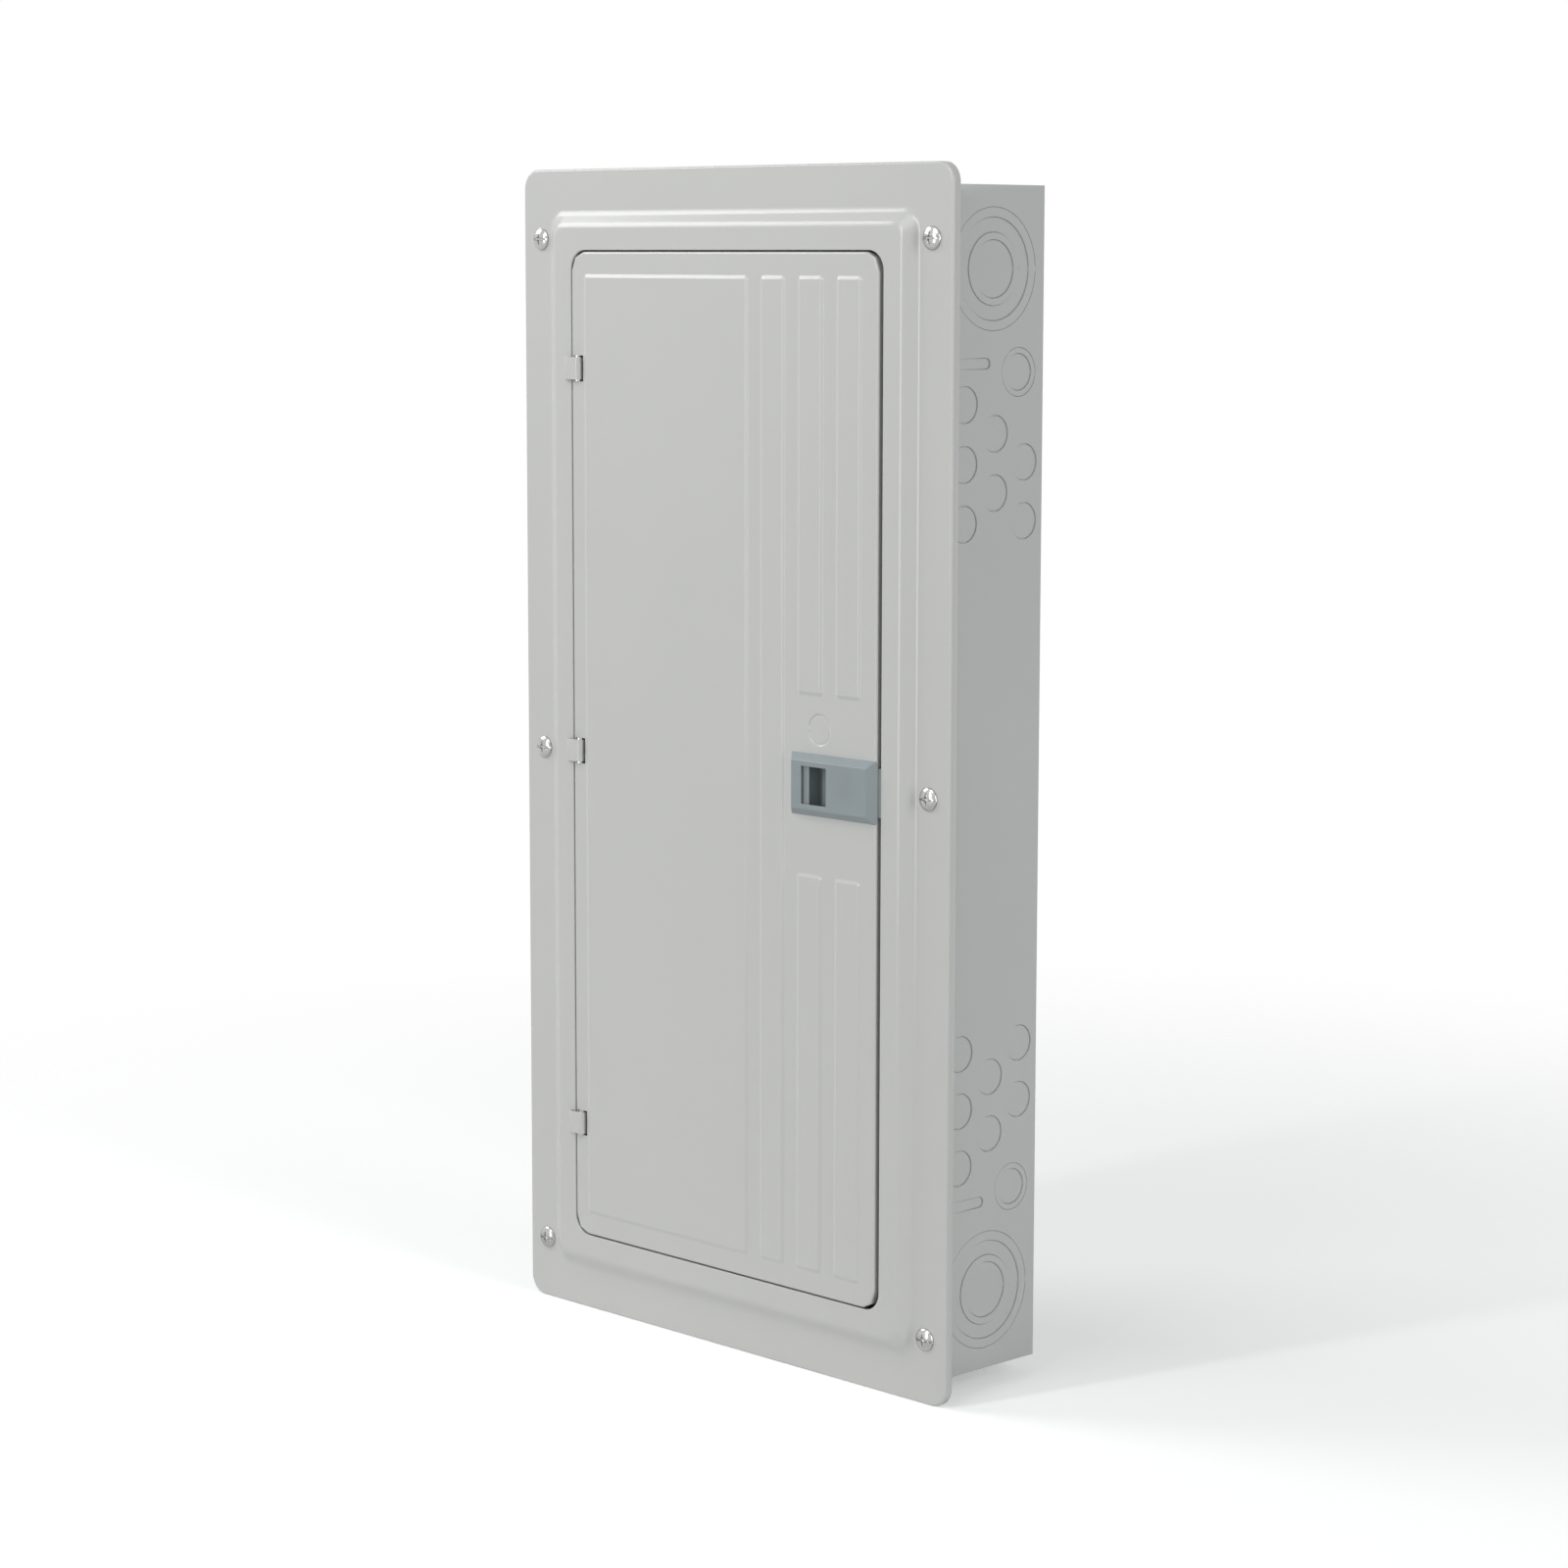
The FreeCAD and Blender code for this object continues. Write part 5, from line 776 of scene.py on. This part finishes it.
def moulded(name, colour, roughness, grain=0.12, scale=1500, mottle=0.05):
    """Moulded plastic: a fine cast grain, slow changes of gloss and a faint change of shade."""
    plastic = Finish(name)
    flow = plastic.noise(38, 5)
    plastic.mottle(flow, colour, mottle, mottle, (0.3, 0.7))
    plastic.gloss(flow, roughness - 0.06, roughness + 0.08)
    plastic.skin(plastic.noise(scale, 2), grain, 0.15 * mm)
    return plastic.made


BEZEL_PLASTIC = moulded("latch_grey", (0.250, 0.290, 0.303), 0.34, 0.06)
BOLT_PLASTIC = moulded("bolt_dark", (0.235, 0.270, 0.280), 0.36, 0.06)
eased("latch_bezel", "door", BEZEL_PLASTIC, 0.55 * mm, 3, 25)
eased("latch_back_plate", "door", BEZEL_PLASTIC, 0.2 * mm)
eased("latch_slider", "latch_slider", BOLT_PLASTIC, 0.35 * mm)
WIRE = plated("spring_wire", (0.50, 0.50, 0.50))
springs = eased("latch_springs", "door", WIRE, 0)
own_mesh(springs)

# ---------------------------------------------------------------------------------------------
# Trim screws: six truss heads in bright zinc, each with a slot and a cross, that hold the trim
# to the ears of the box.
# ---------------------------------------------------------------------------------------------
screw_low, screw_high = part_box("trim_screws")
head_radius = 7.25 * mm
screw_places = [(side * (screw_high[0] - head_radius), z) for side in (-1, 1) for z in screw_rows]
head_rise = -screw_low[1] - flange_level
slot_half, slot_deep, slot_share = 0.62 * mm, 1.35 * mm, 0.93
cross_reach, dimple_radius, groove_edge = 3.5 * mm, 1.5 * mm, 0.16 * mm
shank_share = 2.3 * mm / head_radius
thread_length, screw_length = 13.5 * mm, 15 * mm


def screw_head(centre):
    """A dome over a disc: a square grid drawn into the disc, the height a spherical cap less a
    slot along x, a shorter arm across it and a dimple, then a rim and a shank to the end."""
    outer = np.linspace(0.16, 1, 15)
    side = np.concatenate((-outer[::-1], np.linspace(-0.14, 0.14, 17), outer))
    u, v = np.meshgrid(side, side, indexing="ij")
    x = u * np.sqrt(1 - v * v / 2)
    z = v * np.sqrt(1 - u * u / 2)
    away = np.hypot(x, z)
    cap = 0.22 + 0.78 * np.sqrt(np.clip(1 - 0.92 * away**2, 0, 1))
    cap = (cap - cap.min()) / (cap.max() - cap.min())
    height = head_rise * (0.28 + 0.72 * cap)
    x, z = x * head_radius, z * head_radius

    def wall(distance):
        return np.clip(0.5 - distance / (2 * groove_edge), 0, 1)

    slot = wall(np.abs(z) - slot_half) * wall(np.abs(x) - slot_share * head_radius)
    arm = wall(np.abs(x) - slot_half) * wall(np.abs(z) - cross_reach)
    middle = wall(np.hypot(x, z) - dimple_radius)
    depth = np.maximum.reduce([slot * slot_deep, arm * slot_deep * 0.9, middle * slot_deep * 1.3])
    height = height - depth
    points = np.stack((centre[0] + x, -(flange_level + height), centre[1] + z), axis=-1)
    count = len(side)
    index = np.arange(count * count).reshape(count, count)
    quads = np.stack((index[:-1, :-1], index[1:, :-1], index[1:, 1:], index[:-1, 1:]), axis=-1)
    ring = np.concatenate((index[:, 0], index[-1, 1:], index[-2::-1, -1], index[0, -2:0:-1]))
    rim = points.reshape(-1, 3)[ring]
    flat = rim[:, [0, 2]] - centre
    hoops = [rim]
    for scale, depth in ((1.0, -0.02 * mm), (shank_share, 0), (shank_share, thread_length),
                         (0.05, screw_length)):
        hoops.append(at_level(np.asarray(centre) + flat * scale, flange_level - depth))
    rim_points, rim_quads = loops_to_mesh(hoops)
    last = np.arange(len(rim_points) - len(ring), len(rim_points))
    faces = [tuple(q) for q in rim_quads] + [tuple(last)]
    return join([(points.reshape(-1, 3), quads.reshape(-1, 4)), (rim_points, faces)])


screws = join([screw_head(place) for place in screw_places])
heads = piece("screw_set", *screws, "root", "zinc", ZINC, 32)
merge(heads, 0.005 * mm, turn_out=True)
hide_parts("trim_screws")

# ---------------------------------------------------------------------------------------------
# Deadfront: a pressed steel plate behind the door, with openings for the breakers' faces and
# rows of twistouts over the empty spaces, on a deep frame welded inside the trim.
# ---------------------------------------------------------------------------------------------
DEAD_ENAMEL = enamel("deadfront_enamel", (0.56, 0.56, 0.545), 0.42, 0.02, 0.08)
eased("deadfront", "root", DEAD_ENAMEL, 0)
eased("deadfront_frame", "root", DEAD_ENAMEL, 0.25 * mm, 2, 40)

# ---------------------------------------------------------------------------------------------
# Interior pan and rails: zinc-plated steel pressings screwed to the box's back. The rails carry
# the hooked feet of the branch breakers.
# ---------------------------------------------------------------------------------------------
PAN_ZINC = plated("zinc_sheet", (0.66, 0.665, 0.66), (0.34, 0.52), 0.0, 90)
for node in ("interior_pan", "left_breaker_rail", "right_breaker_rail"):
    eased(node, "root", PAN_ZINC, 0.3 * mm)
eased("pan_screws", "root", ZINC, 0.25 * mm)

# ---------------------------------------------------------------------------------------------
# Bus: two tin-plated aluminium bars on a moulded insulator, each with arms that stand up as
# stabs between the columns of breakers, and bolts to the main breaker.
# ---------------------------------------------------------------------------------------------
TINNED = plated("tinned_bar", (0.76, 0.76, 0.75), (0.30, 0.42), 0.10, 25)
INSULATOR = moulded("insulator_grey", (0.085, 0.086, 0.09), 0.52, 0.2, 900)
eased("bus_insulator", "root", INSULATOR, 0.6 * mm)
for node in ("bus_bar_a", "bus_bar_b"):
    eased(node, "root", TINNED, 0.25 * mm)
eased("bus_bolts", "root", ZINC, 0.4 * mm)

# ---------------------------------------------------------------------------------------------
# Main breaker: a black phenolic case on the pan, a wide handle on a steel axle, and two
# aluminium lugs with slotted set screws for the service wires.
# ---------------------------------------------------------------------------------------------
PHENOLIC = moulded("black_phenolic", (0.022, 0.022, 0.024), 0.44, 0.10, 1300, 0.12)
HANDLE_BLACK = moulded("handle_black", (0.028, 0.028, 0.030), 0.32, 0.05, 1700, 0.10)
ALUMINIUM = plated("extruded_aluminium", (0.70, 0.71, 0.71), (0.30, 0.45), 0.14, 20)
eased("main_breaker_case", "root", PHENOLIC, 0.9 * mm, 3)
eased("main_breaker_handle", "main_handle", HANDLE_BLACK, 0.8 * mm, 3)
for node in ("line_lug_a", "line_lug_b", "neutral_lug"):
    eased(node, "root", ALUMINIUM, 0.5 * mm)
eased("lug_screws", "root", ZINC, 0.3 * mm)

# ---------------------------------------------------------------------------------------------
# Branch breakers: black phenolic cases hooked on the rails and plugged on the stabs, each with
# a handle of its own and a terminal screw for every pole.
# ---------------------------------------------------------------------------------------------
for node in sorted(nodes):
    if node.startswith("branch_breaker"):
        eased(node, "root", PHENOLIC, 0.7 * mm, 3)
    if node.startswith("branch_handle"):
        eased(node, node, HANDLE_BLACK, 0.6 * mm, 3)
eased("branch_terminal_screws", "root", ZINC, 0.25 * mm)

# ---------------------------------------------------------------------------------------------
# Neutral and ground: square aluminium bars with a screw over each wire hole, on moulded
# standoffs, joined by a cross strap that a green screw bonds to the pan.
# ---------------------------------------------------------------------------------------------
GREEN = plated("green_passivated", (0.06, 0.34, 0.13), (0.30, 0.42))
for node in ("neutral_bar_left", "neutral_bar_right", "neutral_strap", "ground_bar"):
    eased(node, "root", TINNED, 0.3 * mm)
for node in ("neutral_standoffs", "ground_standoffs"):
    eased(node, "root", INSULATOR, 0.5 * mm)
for node in ("neutral_screws", "ground_screws"):
    eased(node, "root", ZINC, 0.15 * mm)
eased("bonding_screw", "root", GREEN, 0.25 * mm)

# ---------------------------------------------------------------------------------------------
# Stage: the trim's lower edge stands on a plain pale floor that fades out into a white room.
# Four soft lamps: a tall strip in front, a small one in front, high and near, a square one at the
# upper left and a tall strip at the right.
# ---------------------------------------------------------------------------------------------
floor_mesh = bpy.data.meshes.new("floor")
floor_reach = 9.0
floor_height = cad_bounds[0][2]
floor_corners = [(floor_reach * x, floor_reach * y, floor_height)
                 for x, y in ((-1, -1), (1, -1), (1, 1), (-1, 1))]
floor_mesh.from_pydata(floor_corners, [], [(0, 1, 2, 3)])
floor = bpy.data.objects.new("floor", floor_mesh)
bpy.context.scene.collection.objects.link(floor)
FLOOR_LIFT = 0.32
FADE_START, FADE_END = 0.35, 1.5


def pale_floor():
    """Matt white near the object, seen a little lighter than it is lit, and clear further out,
    where the white room takes over."""
    made = bpy.data.materials.new("pale_floor")
    made.use_nodes = True
    tree = made.node_tree
    tree.nodes.clear()
    end = tree.nodes.new("ShaderNodeOutputMaterial")
    matt = tree.nodes.new("ShaderNodeBsdfDiffuse")
    clear = tree.nodes.new("ShaderNodeBsdfTransparent")
    mixed = tree.nodes.new("ShaderNodeMixShader")
    paler = tree.nodes.new("ShaderNodeAddShader")
    glow = tree.nodes.new("ShaderNodeEmission")
    ray = tree.nodes.new("ShaderNodeLightPath")
    lift = tree.nodes.new("ShaderNodeMath")
    lift.operation = "MULTIPLY"
    lift.inputs[1].default_value = FLOOR_LIFT
    place = tree.nodes.new("ShaderNodeTexCoord")
    length = tree.nodes.new("ShaderNodeVectorMath")
    length.operation = "LENGTH"
    fade = tree.nodes.new("ShaderNodeMapRange")
    fade.interpolation_type = "SMOOTHSTEP"
    fade.inputs["From Min"].default_value = FADE_START
    fade.inputs["From Max"].default_value = FADE_END
    matt.inputs["Color"].default_value = (0.93, 0.93, 0.93, 1)
    tree.links.new(place.outputs["Object"], length.inputs[0])
    tree.links.new(length.outputs["Value"], fade.inputs["Value"])
    tree.links.new(fade.outputs["Result"], mixed.inputs["Fac"])
    tree.links.new(ray.outputs["Is Camera Ray"], lift.inputs[0])
    tree.links.new(lift.outputs["Value"], glow.inputs["Strength"])
    tree.links.new(matt.outputs["BSDF"], paler.inputs[0])
    tree.links.new(glow.outputs["Emission"], paler.inputs[1])
    tree.links.new(paler.outputs["Shader"], mixed.inputs[1])
    tree.links.new(clear.outputs["BSDF"], mixed.inputs[2])
    tree.links.new(mixed.outputs["Shader"], end.inputs["Surface"])
    return made


floor_mesh.materials.append(pale_floor())

room = bpy.data.worlds.new("room")
bpy.context.scene.world = room
room.use_nodes = True
room_tree = room.node_tree
room_tree.nodes.clear()
seen = room_tree.nodes.new("ShaderNodeBackground")
seen.inputs["Color"].default_value = (1, 1, 1, 1)
seen.inputs["Strength"].default_value = 1.0
lit = room_tree.nodes.new("ShaderNodeBackground")
lit.inputs["Color"].default_value = (0.96, 0.98, 1.0, 1)
lit.inputs["Strength"].default_value = 0.30
ray = room_tree.nodes.new("ShaderNodeLightPath")
direct = room_tree.nodes.new("ShaderNodeMath")
direct.operation = "MAXIMUM"
mirrored = room_tree.nodes.new("ShaderNodeMath")
mirrored.operation = "MAXIMUM"
room_tree.links.new(ray.outputs["Is Transmission Ray"], mirrored.inputs[0])
room_tree.links.new(ray.outputs["Is Glossy Ray"], mirrored.inputs[1])
room_tree.links.new(ray.outputs["Is Camera Ray"], direct.inputs[0])
room_tree.links.new(mirrored.outputs["Value"], direct.inputs[1])
choice = room_tree.nodes.new("ShaderNodeMixShader")
room_end = room_tree.nodes.new("ShaderNodeOutputWorld")
room_tree.links.new(direct.outputs["Value"], choice.inputs["Fac"])
room_tree.links.new(lit.outputs["Background"], choice.inputs[1])
room_tree.links.new(seen.outputs["Background"], choice.inputs[2])
room_tree.links.new(choice.outputs["Shader"], room_end.inputs["Surface"])


def lamp(name, azimuth, elevation, width, height, power, distance=2.3):
    """A soft rectangular lamp that faces the panel's middle from a direction in degrees: azimuth
    0 is straight in front, 90 at the right."""
    light = bpy.data.lights.new(name, "AREA")
    light.shape = "RECTANGLE"
    light.size = width
    light.size_y = height
    light.energy = power
    made = bpy.data.objects.new(name, light)
    bpy.context.scene.collection.objects.link(made)
    turn, rise = math.radians(azimuth), math.radians(elevation)
    level = math.cos(rise)
    away = Vector((math.sin(turn) * level, -math.cos(turn) * level, math.sin(rise)))
    made.location = away * distance
    made.rotation_euler = (-away).to_track_quat("-Z", "Y").to_euler()


lamp("front_strip", -8, 12, 0.16, 1.9, 17)
lamp("front_lamp", 10, 48, 0.6, 0.6, 2.5, 1.3)
lamp("upper_left_lamp", -61, 34, 1.0, 1.0, 17)
lamp("right_strip", 85, 10, 0.4, 1.8, 18)

camera_data = bpy.data.cameras.new("camera")
camera_data.lens = 89.4
camera_data.sensor_width = 36
camera = bpy.data.objects.new("camera", camera_data)
bpy.context.scene.collection.objects.link(camera)
camera.location = (1.8070, -1.8136, 0.3271)
camera.rotation_euler = [math.radians(a) for a in (82.29, -0.09, 45.68)]
bpy.context.scene.camera = camera
bpy.context.scene.view_settings.view_transform = "Standard"
